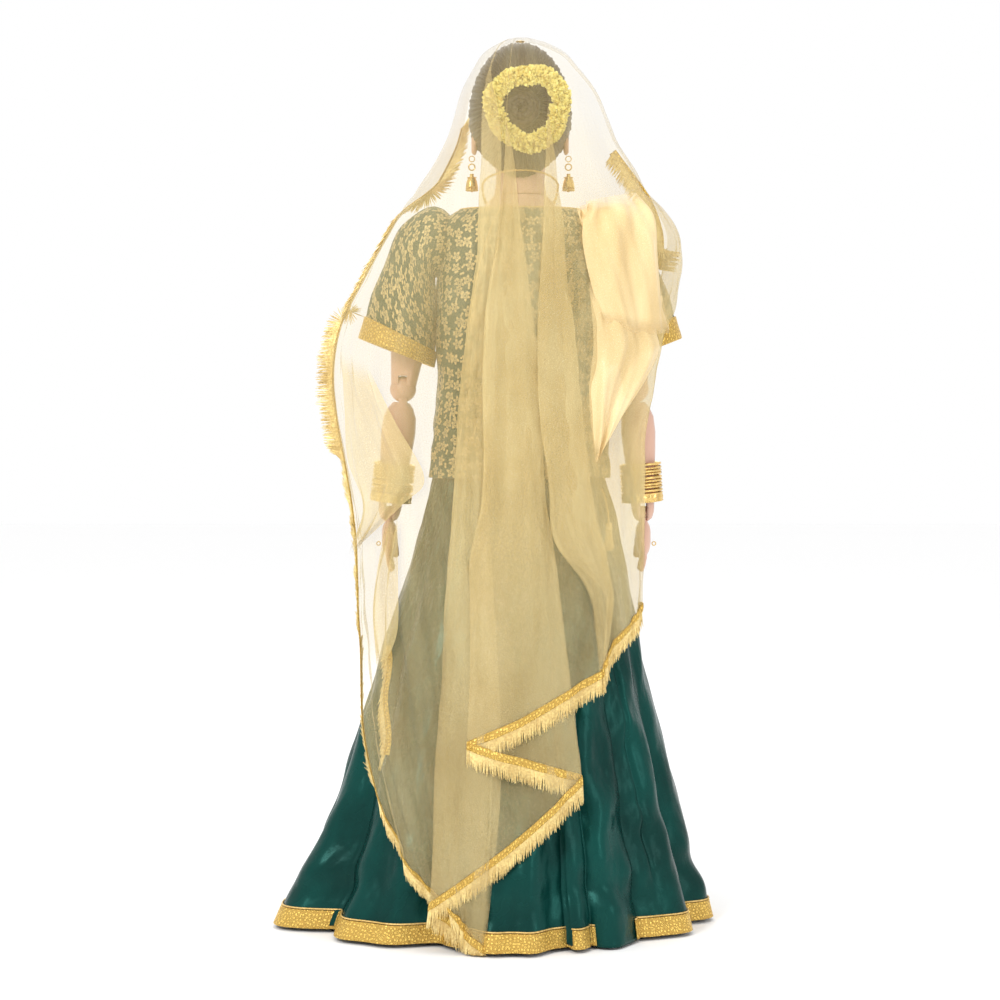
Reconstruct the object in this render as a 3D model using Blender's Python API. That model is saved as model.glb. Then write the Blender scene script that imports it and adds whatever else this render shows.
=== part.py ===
"""A life-size standing kathputli puppet: carved jointed limbs on a post, dressed in
blouse, skirt and net veil. Metres, +Z up, front towards -Y, the figure's left at +X.
The origin is the centre of the base board's underside."""

import math

import bmesh
import bpy
from mathutils import Matrix, Vector

# Driving dimensions
GAP = 0.0004                    # clearance between neighbouring pieces
BASE_RADIUS = 0.170
BASE_TOP = 0.018
POST_RADIUS = 0.014
HIP_TOP = 0.675
SHOULDER_X = 0.147              # centre of the arm's top
SHOULDER_Z = 1.003
ELBOW_Z = 0.785
WRIST_Z = 0.600
NECK_BASE_Z = 1.070             # the turning joint between neck and bust
NECK_Y = 0.010
HEAD_CENTRE = Vector((0.0, 0.0, 1.1865))
HEAD_HALF = Vector((0.068, 0.088, 0.1015))
HAIR_THICK = 0.008
SKIRT_TOP = 0.690
SKIRT_HEM = 0.034
BORDER_FOOT = 0.004
CLOTH = 0.003                   # thickness of the cloth's stand-in solids
HOOD_FOOT = 1.077               # the veil is parted here, so that its top turns with the head
FALL_TOP = 1.073
FRINGE = 0.026                  # depth of the veil's fringe

ELBOW_X = {"left": 0.174, "right": -0.172}
WRIST_X = {"left": 0.195, "right": -0.184}
SIGN = {"left": 1.0, "right": -1.0}

WOOD = ((0.45, 0.28, 0.15), 0.65, 0.0)
SKIN = ((0.62, 0.40, 0.28), 0.50, 0.0)
STEEL = ((0.55, 0.56, 0.58), 0.35, 1.0)
BRASS = ((0.78, 0.57, 0.25), 0.30, 1.0)
SATIN = ((0.02, 0.16, 0.13), 0.35, 0.0)
BROCADE = ((0.10, 0.22, 0.12), 0.60, 0.0)
GOLD_LACE = ((0.80, 0.56, 0.14), 0.45, 0.3)
NET = ((0.85, 0.72, 0.42), 0.60, 0.0)
CALICO = ((0.80, 0.74, 0.62), 0.90, 0.0)
HAIR = ((0.04, 0.03, 0.025), 0.55, 0.0)
FLOWER = ((0.95, 0.80, 0.30), 0.80, 0.0)


def clear_scene():
    for found in list(bpy.data.objects):
        bpy.data.objects.remove(found)


def finish_of(name, look):
    colour, roughness, metallic = look
    made = bpy.data.materials.new(name)
    made.use_nodes = True
    shader = made.node_tree.nodes["Principled BSDF"]
    shader.inputs["Base Color"].default_value = (*colour, 1.0)
    shader.inputs["Roughness"].default_value = roughness
    shader.inputs["Metallic"].default_value = metallic
    return made


def add_object(name, verts, faces, look):
    """One object from points and faces, with its normals turned outwards."""
    mesh = bpy.data.meshes.new(name)
    mesh.from_pydata([tuple(v) for v in verts], [], faces)
    work = bmesh.new()
    work.from_mesh(mesh)
    bmesh.ops.recalc_face_normals(work, faces=work.faces)
    work.to_mesh(mesh)
    work.free()
    mesh.shade_smooth()
    mesh.set_sharp_from_angle(angle=math.radians(40))
    made = bpy.data.objects.new(name, mesh)
    made.data.materials.append(finish_of(name, look))
    bpy.context.scene.collection.objects.link(made)
    return made


def tube_faces(rows, around, closed_ends=True):
    """Faces of a tube of rows x around points; the end caps are fans of one polygon."""
    faces = []
    for r in range(rows - 1):
        for k in range(around):
            n = (k + 1) % around
            faces.append([r * around + k, r * around + n, (r + 1) * around + n, (r + 1) * around + k])
    if closed_ends:
        faces.append(list(range(around))[::-1])
        faces.append([(rows - 1) * around + k for k in range(around)])
    return faces


def loft(rings):
    """(verts, faces) of a closed solid through rings of equal length."""
    around = len(rings[0])
    return [p for ring in rings for p in ring], tube_faces(len(rings), around)


def ring_shell(outer, inner):
    """(verts, faces) of a tube wall between outer and inner rings, open at both ends."""
    rows, around = len(outer), len(outer[0])
    verts = [p for ring in outer for p in ring] + [p for ring in inner for p in ring]
    shift = rows * around
    faces = tube_faces(rows, around, False)
    faces += [[shift + i for i in face[::-1]] for face in faces]
    for k in range(around):
        n = (k + 1) % around
        faces.append([n, k, shift + k, shift + n])
        last = (rows - 1) * around
        faces.append([last + k, last + n, shift + last + n, shift + last + k])
    return verts, faces


def circle(centre, radius_x, radius_y, count, turn=0.0):
    """A level ring of points, counter-clockwise from above."""
    return [
        Vector((centre[0] + radius_x * math.cos(turn + 2 * math.pi * k / count),
                centre[1] + radius_y * math.sin(turn + 2 * math.pi * k / count),
                centre[2]))
        for k in range(count)
    ]


def turned(profile, count):
    """(verts, faces) of a closed profile of (radius, height) pairs turned about Z."""
    rings = [[Vector((r * math.cos(2 * math.pi * k / count), r * math.sin(2 * math.pi * k / count), z))
              for k in range(count)] for r, z in profile]
    verts = [p for ring in rings for p in ring]
    faces = tube_faces(len(rings), count, False)
    last = (len(rings) - 1) * count
    faces += [[last + k, last + (k + 1) % count, (k + 1) % count, k] for k in range(count)]
    return verts, faces


def solid_turned(profile, count):
    """(verts, faces) of a solid turned about Z from an open profile, capped at both ends."""
    return loft([circle((0, 0, z), r, r, count) for r, z in profile])


def moved(shape, matrix):
    return [matrix @ Vector(p) for p in shape[0]], shape[1]


def rod(start, end, radius, count=12):
    """(verts, faces) of a straight round rod between two points."""
    start, end = Vector(start), Vector(end)
    turn = (end - start).to_track_quat("Z", "Y").to_matrix().to_4x4()
    length = (end - start).length
    return moved(solid_turned([(radius, 0), (radius, length)], count), Matrix.Translation(start) @ turn)


def tube_along(points, radii, sides):
    """(verts, faces) of a tube with flat ends along points, its rings carried without twist."""
    points = [Vector(p) for p in points]
    rings = []
    side = None
    for i, p in enumerate(points):
        ahead = points[min(i + 1, len(points) - 1)] - points[max(i - 1, 0)]
        ahead.normalize()
        if side is None:
            side = ahead.orthogonal().normalized()
        side = (side - ahead * side.dot(ahead)).normalized()
        other = ahead.cross(side)
        rings.append([p + radii[i] * (side * math.cos(2 * math.pi * k / sides)
                                      + other * math.sin(2 * math.pi * k / sides)) for k in range(sides)])
    return loft(rings)


def torus(centre, normal, major, minor, count, sides, stretch=1.0):
    """(verts, faces) of a ring about normal; stretch lengthens its second axis."""
    turn = Vector(normal).to_track_quat("Z", "Y").to_matrix().to_4x4()
    verts = []
    for k in range(count):
        a = 2 * math.pi * k / count
        for j in range(sides):
            b = 2 * math.pi * j / sides
            reach = major + minor * math.cos(b)
            verts.append(Vector((reach * math.cos(a), (reach + major * (stretch - 1)) * math.sin(a),
                                 minor * math.sin(b))))
    faces = []
    for k in range(count):
        for j in range(sides):
            nk, nj = (k + 1) % count, (j + 1) % sides
            faces.append([k * sides + j, nk * sides + j, nk * sides + nj, k * sides + nj])
    return moved((verts, faces), Matrix.Translation(Vector(centre)) @ turn)


def interpolate(table, at):
    """A straight-line reading of (at, value, ...) rows sorted by falling or rising at."""
    rows = sorted(table)
    if at <= rows[0][0]:
        return rows[0][1:]
    for low, high in zip(rows, rows[1:]):
        if at <= high[0]:
            share = (at - low[0]) / (high[0] - low[0])
            return tuple(a + share * (b - a) for a, b in zip(low[1:], high[1:]))
    return rows[-1][1:]


def cut(target, shape, name, operation="DIFFERENCE"):
    """A Boolean of target with a hidden guide object."""
    guide = add_object(name, *shape, WOOD)
    guide.hide_render = True
    guide.display_type = "WIRE"
    modifier = target.modifiers.new(name, "BOOLEAN")
    modifier.operation = operation
    modifier.solver = "EXACT"
    modifier.object = guide


def block(low, high):
    """(verts, faces) of a box."""
    x0, y0, z0 = low
    x1, y1, z1 = high
    return loft([[Vector((x0, y0, z)), Vector((x1, y0, z)), Vector((x1, y1, z)), Vector((x0, y1, z))]
                 for z in (z0, z1)])


# ---------------------------------------------------------------- stand and trunk

def build_stand():
    screw_spots = [(0.033 * math.cos(a), 0.033 * math.sin(a))
                   for a in (math.pi / 4 + k * math.pi / 2 for k in range(4))]
    board = add_object("base_board", *solid_turned(
        [(BASE_RADIUS - 0.003, 0.0), (BASE_RADIUS, 0.003), (BASE_RADIUS, BASE_TOP - 0.004),
         (BASE_RADIUS - 0.004, BASE_TOP)], 28), WOOD)
    flange_foot = BASE_TOP + GAP
    flange_top = flange_foot + 0.006
    flange = add_object("post_flange", *turned(
        [(POST_RADIUS + GAP, flange_foot), (0.045, flange_foot), (0.045, flange_top), (0.021, flange_top),
         (0.020, flange_foot + 0.032), (POST_RADIUS + GAP, flange_foot + 0.032)], 18), STEEL)
    for k, (x, y) in enumerate(screw_spots):
        hole = rod((x, y, BASE_TOP - 0.011), (x, y, flange_top + 0.01), 0.0026)
        for target in (board, flange):
            cut(target, hole, f"{target.name}_screw_hole_{k}")
        head = flange_top + GAP
        profile = [(0.0018, BASE_TOP - 0.010), (0.0021, head), (0.0048, head + 0.0002),
                   (0.0044, head + 0.0018), (0.0025, head + 0.0026)]
        add_object(f"flange_screw_{k + 1}", *moved(solid_turned(profile, 12), Matrix.Translation((x, y, 0))),
                   STEEL)
    add_object("post", *rod((0, 0, BASE_TOP + GAP), (0, 0, HIP_TOP - 0.010), POST_RADIUS, 20), WOOD)


def build_trunk():
    hip = add_object("hip_block", *loft([circle((0, 0, z), 0.096 + lift, 0.068 + lift, 28)
                                         for z, lift in ((0.612, -0.006), (0.620, 0.0), (0.665, 0.0),
                                                         (HIP_TOP, -0.006))]), WOOD)
    cut(hip, rod((0, 0, 0.60), (0, 0, HIP_TOP - 0.010 + GAP), POST_RADIUS + GAP, 20), "hip_bore")
    board_foot, board_top = HIP_TOP + GAP, 0.988
    add_object("trunk_board", *block((-0.045, -0.012, board_foot), (0.045, 0.012, board_top)), WOOD)
    rows = ((0.682, 0.100, 0.060), (0.710, 0.109, 0.074), (0.80, 0.106, 0.074), (0.88, 0.104, 0.080),
            (0.94, 0.102, 0.074), (0.966, 0.092, 0.058))
    for name, side, scale in (("chest_padding", -1, 1.0), ("back_padding", 1, 0.94)):
        rings = []
        for z, half, depth in rows:
            arc = [Vector((half * math.cos(math.pi * k / 8),
                           side * (0.0125 + depth * scale * math.sin(math.pi * k / 8)), z))
                   for k in range(9)]
            rings.append(arc)
        add_object(name, *loft(rings), CALICO)
    yoke = add_object("shoulder_yoke", *block((-0.118, -0.013, board_top + GAP), (0.118, 0.013, 1.018)), WOOD)
    cut(yoke, rod((-0.130, 0, SHOULDER_Z), (0.130, 0, SHOULDER_Z), 0.0046), "yoke_bore")
    add_object("shoulder_rod", *rod((-0.1675, 0, SHOULDER_Z), (0.1675, 0, SHOULDER_Z), 0.004), STEEL)
    bust_rows = ((1.0184, 0.100, 0.056), (1.030, 0.098, 0.056), (1.044, 0.074, 0.050), (1.056, 0.052, 0.045),
                 (NECK_BASE_Z - GAP, 0.040, 0.040))
    bust = add_object("bust_block", *loft([circle((0, NECK_Y * (z - 1.018) / 0.052, z), wide, deep, 28)
                                           for z, wide, deep in bust_rows]), SKIN)
    cut(bust, rod((0, NECK_Y, 1.023), (0, NECK_Y, 1.10), 0.0126, 16), "bust_bore")


# ---------------------------------------------------------------- head

def head_point(azimuth, polar, swell=0.0):
    """A point of the head: an egg, its jaw drawn in; azimuth 0 faces front, polar 0 is the crown."""
    half = HEAD_HALF + Vector((swell, swell, swell))
    low = max(0.0, min(1.0, (polar - math.radians(95)) / math.radians(70)))
    narrow = 1.0 - 0.30 * low * low * (3 - 2 * low)
    flat = math.sin(polar)
    back = max(0.0, -math.cos(azimuth))
    return HEAD_CENTRE + Vector((half.x * narrow * flat * math.sin(azimuth),
                                 -half.y * flat * math.cos(azimuth) * (1 - 0.10 * low * (1 - back)),
                                 half.z * math.cos(polar)))


def build_head():
    around, rows = 24, 13
    rings = [[head_point(2 * math.pi * k / around, math.pi * (r + 0.35) / (rows - 0.3)) for k in range(around)]
             for r in range(rows)]
    head = add_object("head", *loft(rings), SKIN)
    neck = loft([circle((0, NECK_Y, z), r, r, 20) for z, r in
                 ((NECK_BASE_Z, 0.040), (1.070, 0.0385), (1.090, 0.037), (1.130, 0.038))])
    cut(head, neck, "neck_stem", "UNION")
    nose = loft([[Vector((x, y, z)) for x, y in ((-wide, -0.080), (wide, -0.080), (wide * 0.5, -depth),
                                                 (-wide * 0.5, -depth))]
                 for z, wide, depth in ((1.158, 0.012, 0.088), (1.164, 0.013, 0.106), (1.176, 0.009, 0.100),
                                        (1.196, 0.006, 0.090))])
    cut(head, nose, "nose_ridge", "UNION")
    for side, sign in SIGN.items():
        ear = loft([[Vector((sign * (0.064 + 0.007 * math.cos(a)) + 0.002 * sign, 0.008 + half * math.sin(a) * 0.7
                             + (z - 1.155) * 0.15, z)) for a in (math.pi * k / 4 for k in range(8))]
                    for z, half in ((1.130, 0.007), (1.138, 0.012), (1.154, 0.017), (1.168, 0.018), (1.175, 0.010))])
        cut(head, ear, f"ear_{side}", "UNION")
    cut(head, rod((0, NECK_Y, 1.00), (0, NECK_Y, 1.092), 0.0124, 16), "dowel_socket")
    add_object("neck_dowel", *rod((0, NECK_Y, 1.0245), (0, NECK_Y, 1.0915), 0.012, 16), WOOD)


def build_hair():
    """A wig shell over the skull from the brow line to the nape, with a bun behind."""
    around, rows = 24, 7
    outer, inner = [], []
    for r in range(rows):
        for layer, swell in ((outer, HAIR_THICK), (inner, 0.0028)):
            ring = []
            for k in range(around):
                azimuth = 2 * math.pi * k / around
                front = 0.5 + 0.5 * math.cos(azimuth)
                limit = math.radians(112 - 62 * front ** 1.25)
                ring.append(head_point(azimuth, limit * (r + 0.12) / (rows - 0.88), swell))
            layer.append(ring)
    verts = [p for ring in outer for p in ring] + [p for ring in inner for p in ring]
    shift = rows * around
    faces = tube_faces(rows, around, False)
    faces += [[shift + i for i in face[::-1]] for face in faces]
    last = (rows - 1) * around
    for k in range(around):
        n = (k + 1) % around
        faces.append([last + k, last + n, shift + last + n, shift + last + k])
    faces.append(list(range(around))[::-1])
    faces.append([shift + k for k in range(around)])
    add_object("hair", verts, faces, HAIR)
    bun = [circle((0, 0, z), r, r, 16) for z, r in ((0.0, 0.024), (0.008, 0.029), (0.018, 0.030), (0.027, 0.023),
                                                    (0.033, 0.010))]
    turn = Matrix.Translation((0, 0.0965, 1.186)) @ Matrix.Rotation(-math.pi / 2, 4, "X")
    add_object("hair_bun", *moved(loft(bun), turn), HAIR)
    add_object("flower_ring", *torus((0, 0.1205, 1.186), (0, 1, 0), 0.0505, 0.0175, 20, 7), FLOWER)
    add_object("crown_ring", *torus((0, 0, 1.2980), (0, 0, 1), 0.0060, 0.0010, 12, 6), BRASS)


def build_ear_drops():
    for side, sign in SIGN.items():
        centre = (sign * 0.0715, 0.0050, 1.1250)
        add_object(f"ear_hook_{side}", *torus(centre, (0, 1, 0), 0.0042, 0.0007, 12, 6), BRASS)
        drop = solid_turned([(0.0010, -0.0062), (0.0012, -0.022), (0.0030, -0.024), (0.0045, -0.029),
                             (0.0090, -0.038), (0.0095, -0.043), (0.0040, -0.045), (0.0022, -0.050),
                             (0.0010, -0.054)][::-1], 12)
        add_object(f"ear_drop_{side}", *moved(drop, Matrix.Translation(centre)), BRASS)


# ---------------------------------------------------------------- arms

def limb_ring(start, end, along, radius_x, radius_y, count):
    """A ring across the line from start to end, along metres past start."""
    ahead = (end - start).normalized()
    centre = start + ahead * along
    across = Vector((1, 0, 0))
    across = (across - ahead * across.dot(ahead)).normalized()
    fore = ahead.cross(across)
    return [centre + across * radius_x * math.cos(2 * math.pi * k / count)
            + fore * radius_y * math.sin(2 * math.pi * k / count) for k in range(count)]


def limb(start, end, rows, count=14):
    """(verts, faces) of a round limb; rows are (distance past start, radius across, radius fore)."""
    return loft([limb_ring(start, end, along, rx, ry, count) for along, rx, ry in rows])


def plate(centre, ahead, half, radius, reach, count=8):
    """(verts, faces) of a tongue: a plate square to X, round at its pivot, running reach along ahead."""
    ahead = Vector((0, ahead.y, ahead.z)).normalized()
    fore = ahead.cross(Vector((1, 0, 0))).normalized()
    outline = [centre - ahead * radius * math.sin(math.pi * k / count)
               + fore * radius * math.cos(math.pi * k / count) for k in range(count + 1)]
    outline += [centre + ahead * reach - fore * radius, centre + ahead * reach + fore * radius]
    return loft([[p + Vector((x, 0, 0)) for p in outline] for x in (-half, half)])


def slot(centre, half, depth, length):
    """(verts, faces) of the box that a fork's slot takes away."""
    return block((centre.x - half, centre.y - depth, centre.z - length),
                 (centre.x + half, centre.y + depth, centre.z + 0.020))


def build_arm(side):
    sign = SIGN[side]
    shoulder = Vector((sign * SHOULDER_X, 0, SHOULDER_Z))
    elbow = Vector((ELBOW_X[side], 0, ELBOW_Z))
    wrist = Vector((WRIST_X[side], -0.008, WRIST_Z))
    tip = Vector((WRIST_X[side], -0.020, WRIST_Z - 0.10))
    upper_length = (elbow - shoulder).length
    upper = add_object(f"upper_arm_{side}", *limb(shoulder, elbow, [
        (-0.030, 0.007, 0.009), (-0.023, 0.0155, 0.019), (-0.010, 0.0215, 0.029), (0.008, 0.0235, 0.032),
        (0.035, 0.026, 0.034), (0.075, 0.031, 0.034), (0.120, 0.029, 0.031), (0.165, 0.025, 0.026),
        (upper_length - 0.012, 0.0195, 0.0195), (upper_length, 0.0180, 0.0180),
        (upper_length + 0.010, 0.0145, 0.0145), (upper_length + 0.0165, 0.0060, 0.0060)]), SKIN)
    cut(upper, rod(shoulder - Vector((0.05, 0, 0)), shoulder + Vector((0.05, 0, 0)), 0.0046), f"arm_bore_{side}")
    cut(upper, slot(elbow, 0.0065, 0.05, 0.06), f"elbow_slot_{side}")
    cut(upper, rod(elbow - Vector((0.05, 0, 0)), elbow + Vector((0.05, 0, 0)), 0.0034), f"fork_bore_{side}")
    add_object(f"elbow_pin_{side}", *rod(elbow - Vector((0.0165, 0, 0)), elbow + Vector((0.0165, 0, 0)), 0.003),
               STEEL)
    fore_length = (wrist - elbow).length
    forearm = add_object(f"forearm_{side}", *limb(elbow, wrist, [
        (0.0200, 0.0125, 0.0125), (0.028, 0.0185, 0.0185), (0.042, 0.0240, 0.0240), (0.065, 0.0255, 0.0260),
        (0.095, 0.0235, 0.0240), (0.130, 0.0200, 0.0205), (fore_length - 0.008, 0.0170, 0.0175),
        (fore_length, 0.0160, 0.0165), (fore_length + 0.008, 0.0125, 0.0130),
        (fore_length + 0.013, 0.0050, 0.0050)]), SKIN)
    cut(forearm, plate(elbow, wrist - elbow, 0.0060, 0.0140, 0.035), f"elbow_tongue_{side}", "UNION")
    cut(forearm, rod(elbow - Vector((0.05, 0, 0)), elbow + Vector((0.05, 0, 0)), 0.0034), f"tongue_bore_{side}")
    cut(forearm, slot(wrist, 0.0050, 0.05, 0.05), f"wrist_slot_{side}")
    cut(forearm, rod(wrist - Vector((0.05, 0, 0)), wrist + Vector((0.05, 0, 0)), 0.0026), f"wrist_bore_{side}")
    add_object(f"wrist_pin_{side}", *rod(wrist - Vector((0.0145, 0, 0)), wrist + Vector((0.0145, 0, 0)), 0.0022),
               STEEL)
    hand = add_object(f"hand_{side}", *limb(wrist, tip, [
        (0.0160, 0.0090, 0.0120), (0.022, 0.0110, 0.0190), (0.034, 0.0125, 0.0265), (0.050, 0.0125, 0.0290),
        (0.064, 0.0115, 0.0270), (0.076, 0.0105, 0.0230), (0.085, 0.0080, 0.0160), (0.088, 0.0040, 0.0080)],
        12), SKIN)
    cut(hand, plate(wrist, tip - wrist, 0.0046, 0.0110, 0.028), f"wrist_tongue_{side}", "UNION")
    thumb_root = wrist + Vector((-sign * 0.002, -0.020, -0.030))
    thumb = limb(thumb_root, thumb_root + Vector((-sign * 0.004, -0.014, -0.034)),
                 [(-0.004, 0.005, 0.005), (0.004, 0.0085, 0.0090), (0.022, 0.0072, 0.0076), (0.036, 0.0045, 0.0045)],
                 10)
    cut(hand, thumb, f"thumb_{side}", "UNION")
    cut(hand, rod(wrist - Vector((0.05, 0, 0)), wrist + Vector((0.05, 0, 0)), 0.0026), f"hand_bore_{side}")
    eye_spot = wrist + (tip - wrist).normalized() * 0.046 + Vector((sign * 0.0166, 0.0, 0))
    add_object(f"hand_eye_{side}", *torus(eye_spot, (0, 1, 0), 0.0028, 0.0008, 12, 6), BRASS)
    build_bangles(side, elbow, wrist)


def bangle(centre, ahead, inner, rows, count=20):
    """(verts, faces) of a bangle about the line ahead: rows are (distance along, outer radius)."""
    profile = [(inner, rows[0][0]), *((radius, at) for at, radius in rows), (inner, rows[-1][0])]
    turn = ahead.to_track_quat("Z", "Y").to_matrix().to_4x4()
    return moved(turned(profile, count), Matrix.Translation(centre) @ turn)


def build_bangles(side, elbow, wrist):
    """One broad bangle at the wrist and a set of six thin ones soldered side by side, loose on the forearm."""
    ahead = (elbow - wrist).normalized()
    broad = [(0.0, 0.0305), (0.004, 0.0325), (0.011, 0.0325), (0.015, 0.0305)]
    add_object(f"broad_bangle_{side}", *bangle(wrist + ahead * 0.017, ahead, 0.0272, broad), BRASS)
    thin = []
    for k in range(6):
        thin += [(0.0072 * k, 0.0292), (0.0072 * k + 0.0036, 0.0312)]
    thin.append((0.0072 * 6, 0.0292))
    add_object(f"bangle_set_{side}", *bangle(wrist + ahead * 0.0325, ahead, 0.0275, thin), BRASS)


# ---------------------------------------------------------------- blouse

BLOUSE = ((0.652, 0.134, 0.100, 0.102), (0.720, 0.128, 0.097, 0.097), (0.800, 0.121, 0.097, 0.092),
          (0.900, 0.118, 0.103, 0.094), (0.960, 0.117, 0.098, 0.091), (1.000, 0.119, 0.087, 0.085),
          (1.026, 0.117, 0.073, 0.077), (1.040, 0.104, 0.064, 0.070), (1.050, 0.088, 0.0575, 0.064))


def blouse_ring(z, shrink, count):
    """A level ring of the blouse, a squarish oval with its own front and back depth."""
    half, front, back = interpolate(BLOUSE, z)
    ring = []
    for k in range(count):
        a = 2 * math.pi * k / count
        c, s = math.cos(a), math.sin(a)
        squarish = 1.0 + 0.05 * math.sin(2 * a) ** 2
        depth = (back if s > 0 else front) - shrink
        ring.append(Vector(((half - shrink) * c * squarish, depth * s * squarish, z)))
    return ring


def build_blouse():
    count = 28
    heights = [row[0] for row in BLOUSE]
    outer = [blouse_ring(z, 0.0, count) for z in heights]
    inner = [blouse_ring(z, CLOTH, count) for z in heights]
    blouse = add_object("blouse", *ring_shell(outer, inner), BROCADE)
    for side, sign in SIGN.items():
        hole = rod((sign * 0.095, 0, SHOULDER_Z), (sign * 0.160, 0, SHOULDER_Z), 0.036, 16)
        cut(blouse, hole, f"armhole_{side}")
        build_sleeve(side)


def sleeve_ring(side, along, shrink, count):
    """A ring of the sleeve, which bends from facing the armhole to hanging down the arm."""
    rows = ((0.0, 0.1235, 1.003, 0, 0.052), (0.25, 0.147, 0.983, 25, 0.055), (0.5, 0.160, 0.939, 43, 0.056),
            (0.75, 0.173, 0.889, 53, 0.057), (1.0, 0.184, 0.838, 57, 0.059))
    x, z, tilt, radius = interpolate(rows, along)
    tilt = math.radians(tilt)
    up = Vector((SIGN[side] * math.sin(tilt), 0, math.cos(tilt)))
    centre = Vector((SIGN[side] * x, 0, z))
    return [centre + (radius - shrink) * (up * math.cos(2 * math.pi * k / count)
                                          + Vector((0, 1, 0)) * math.sin(2 * math.pi * k / count))
            for k in range(count)]


def build_sleeve(side):
    count = 16
    parted = 0.82                # the lace band takes the rest of the sleeve
    for name, start, end, rows, look in ((f"sleeve_{side}", 0.0, parted, 6, BROCADE),
                                         (f"sleeve_border_{side}", parted + 0.008, 1.0, 2, GOLD_LACE)):
        steps = [start + (end - start) * r / (rows - 1) for r in range(rows)]
        outer = [sleeve_ring(side, s, 0.0, count) for s in steps]
        inner = [sleeve_ring(side, s, CLOTH, count) for s in steps]
        add_object(name, *ring_shell(outer, inner), look)


# ---------------------------------------------------------------- skirt

SKIRT = ((0.004, 0.330, 0.268, 0.262, 0.246), (0.10, 0.290, 0.244, 0.245, 0.226), (0.20, 0.258, 0.220, 0.222, 0.204),
         (0.30, 0.232, 0.196, 0.198, 0.182), (0.42, 0.196, 0.172, 0.166, 0.154), (0.55, 0.155, 0.150, 0.126, 0.120),
         (0.62, 0.136, 0.134, 0.102, 0.098), (0.69, 0.116, 0.116, 0.084, 0.082))
FLUTES = 12


def skirt_point(turn, z, shrink=0.0):
    """A point of the skirt; turn 0 is the back and grows towards the figure's left."""
    left, right, back, front = interpolate(SKIRT, z)
    s, c = math.sin(turn), math.cos(turn)
    fall = max(0.0, (0.60 - z) / 0.60)
    wave = 0.055 * fall * math.cos(FLUTES * turn) + 0.022 * fall * math.cos(5 * turn + 0.6)
    wide = left if s > 0 else right
    deep = back if c > 0 else front
    grow = 1.0 + wave
    return Vector(((wide * grow - shrink) * s, (deep * grow - shrink) * c, z))


def skirt_shell(name, top, foot, rows, count, look, thick=CLOTH):
    heights = [top + (foot - top) * r / (rows - 1) for r in range(rows)]
    turns = [2 * math.pi * k / count for k in range(count)]
    outer = [[skirt_point(a, z) for a in turns] for z in heights]
    inner = [[skirt_point(a, z, thick) for a in turns] for z in heights]
    return add_object(name, *ring_shell(outer, inner), look)


def build_skirt():
    skirt_shell("skirt", SKIRT_TOP - 0.022, SKIRT_HEM + GAP, 6, 60, SATIN)
    skirt_shell("skirt_border", SKIRT_HEM, BORDER_FOOT, 2, 60, GOLD_LACE)
    skirt_shell("waistband", SKIRT_TOP, SKIRT_TOP - 0.022 + GAP, 2, 30, SATIN)


# ---------------------------------------------------------------- ties and necklace

def build_necklace():
    """Beads on the chest in front, a twisted cord round the nape behind."""
    wide, deep = 0.056, 0.062

    def loop(a):
        behind = math.cos(a) > 0
        return Vector((wide * math.sin(a), deep * math.cos(a) * (1.0 if behind else 1.48),
                       1.085 + (0.018 if behind else 0.050) * math.cos(a)))

    cord = [loop(math.radians(d)) for d in range(-96, 97, 12)]
    add_object("necklace_cord", *tube_along(cord, [0.0013] * len(cord), 6), GOLD_LACE)
    beads = [loop(math.radians(d)) for d in range(100, 261, 5)]
    swells = [0.0042 if k % 2 else 0.0018 for k in range(len(beads))]
    add_object("necklace_beads", *tube_along(beads, swells, 6), BRASS)


def smooth_route(points, steps):
    """A Catmull-Rom curve through the points, steps points for each span."""
    points = [Vector(p) for p in points]
    ends = [points[0] * 2 - points[1], *points, points[-1] * 2 - points[-2]]
    route = []
    for i in range(1, len(ends) - 2):
        p0, p1, p2, p3 = ends[i - 1:i + 3]
        for k in range(steps):
            t = k / steps
            route.append(0.5 * ((2 * p1) + (p2 - p0) * t + (2 * p0 - 5 * p1 + 4 * p2 - p3) * t * t
                                + (3 * p1 - p0 - 3 * p2 + p3) * t ** 3))
    return [*route, points[-1]]


TIES = {
    "back_tie": [(0.020, 0.0685, 1.052), (0.030, 0.0790, 1.044), (0.044, 0.0850, 1.014), (0.056, 0.0880, 0.975),
                 (0.064, 0.0890, 0.940), (0.068, 0.0900, 0.916)],
    "waist_tie": [(-0.118, 0.078, 0.640), (-0.122, 0.0835, 0.628), (-0.126, 0.089, 0.612), (-0.128, 0.094, 0.592)],
}


def build_ties():
    for name, points in TIES.items():
        curve = bpy.data.curves.new(f"{name}_cord", "CURVE")
        curve.dimensions = "3D"
        curve.bevel_depth = 0.0013
        curve.bevel_resolution = 2
        curve.use_fill_caps = True
        route = smooth_route(points, 3)
        spline = curve.splines.new("POLY")
        spline.points.add(len(route) - 1)
        for spot, p in zip(spline.points, route):
            spot.co = (*p, 1.0)
        cord = bpy.data.objects.new(f"{name}_cord", curve)
        curve.materials.append(finish_of(f"{name}_cord", GOLD_LACE))
        bpy.context.scene.collection.objects.link(cord)
        end = Vector(points[-1])
        tassel = solid_turned([(0.0070, -0.038), (0.0066, -0.024), (0.0048, -0.015), (0.0056, -0.010),
                               (0.0052, -0.004), (0.0020, 0.0)], 12)
        add_object(f"{name}_tassel", *moved(tassel, Matrix.Translation(end + Vector((0, 0, -GAP)))), GOLD_LACE)


# ---------------------------------------------------------------- veil

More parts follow.
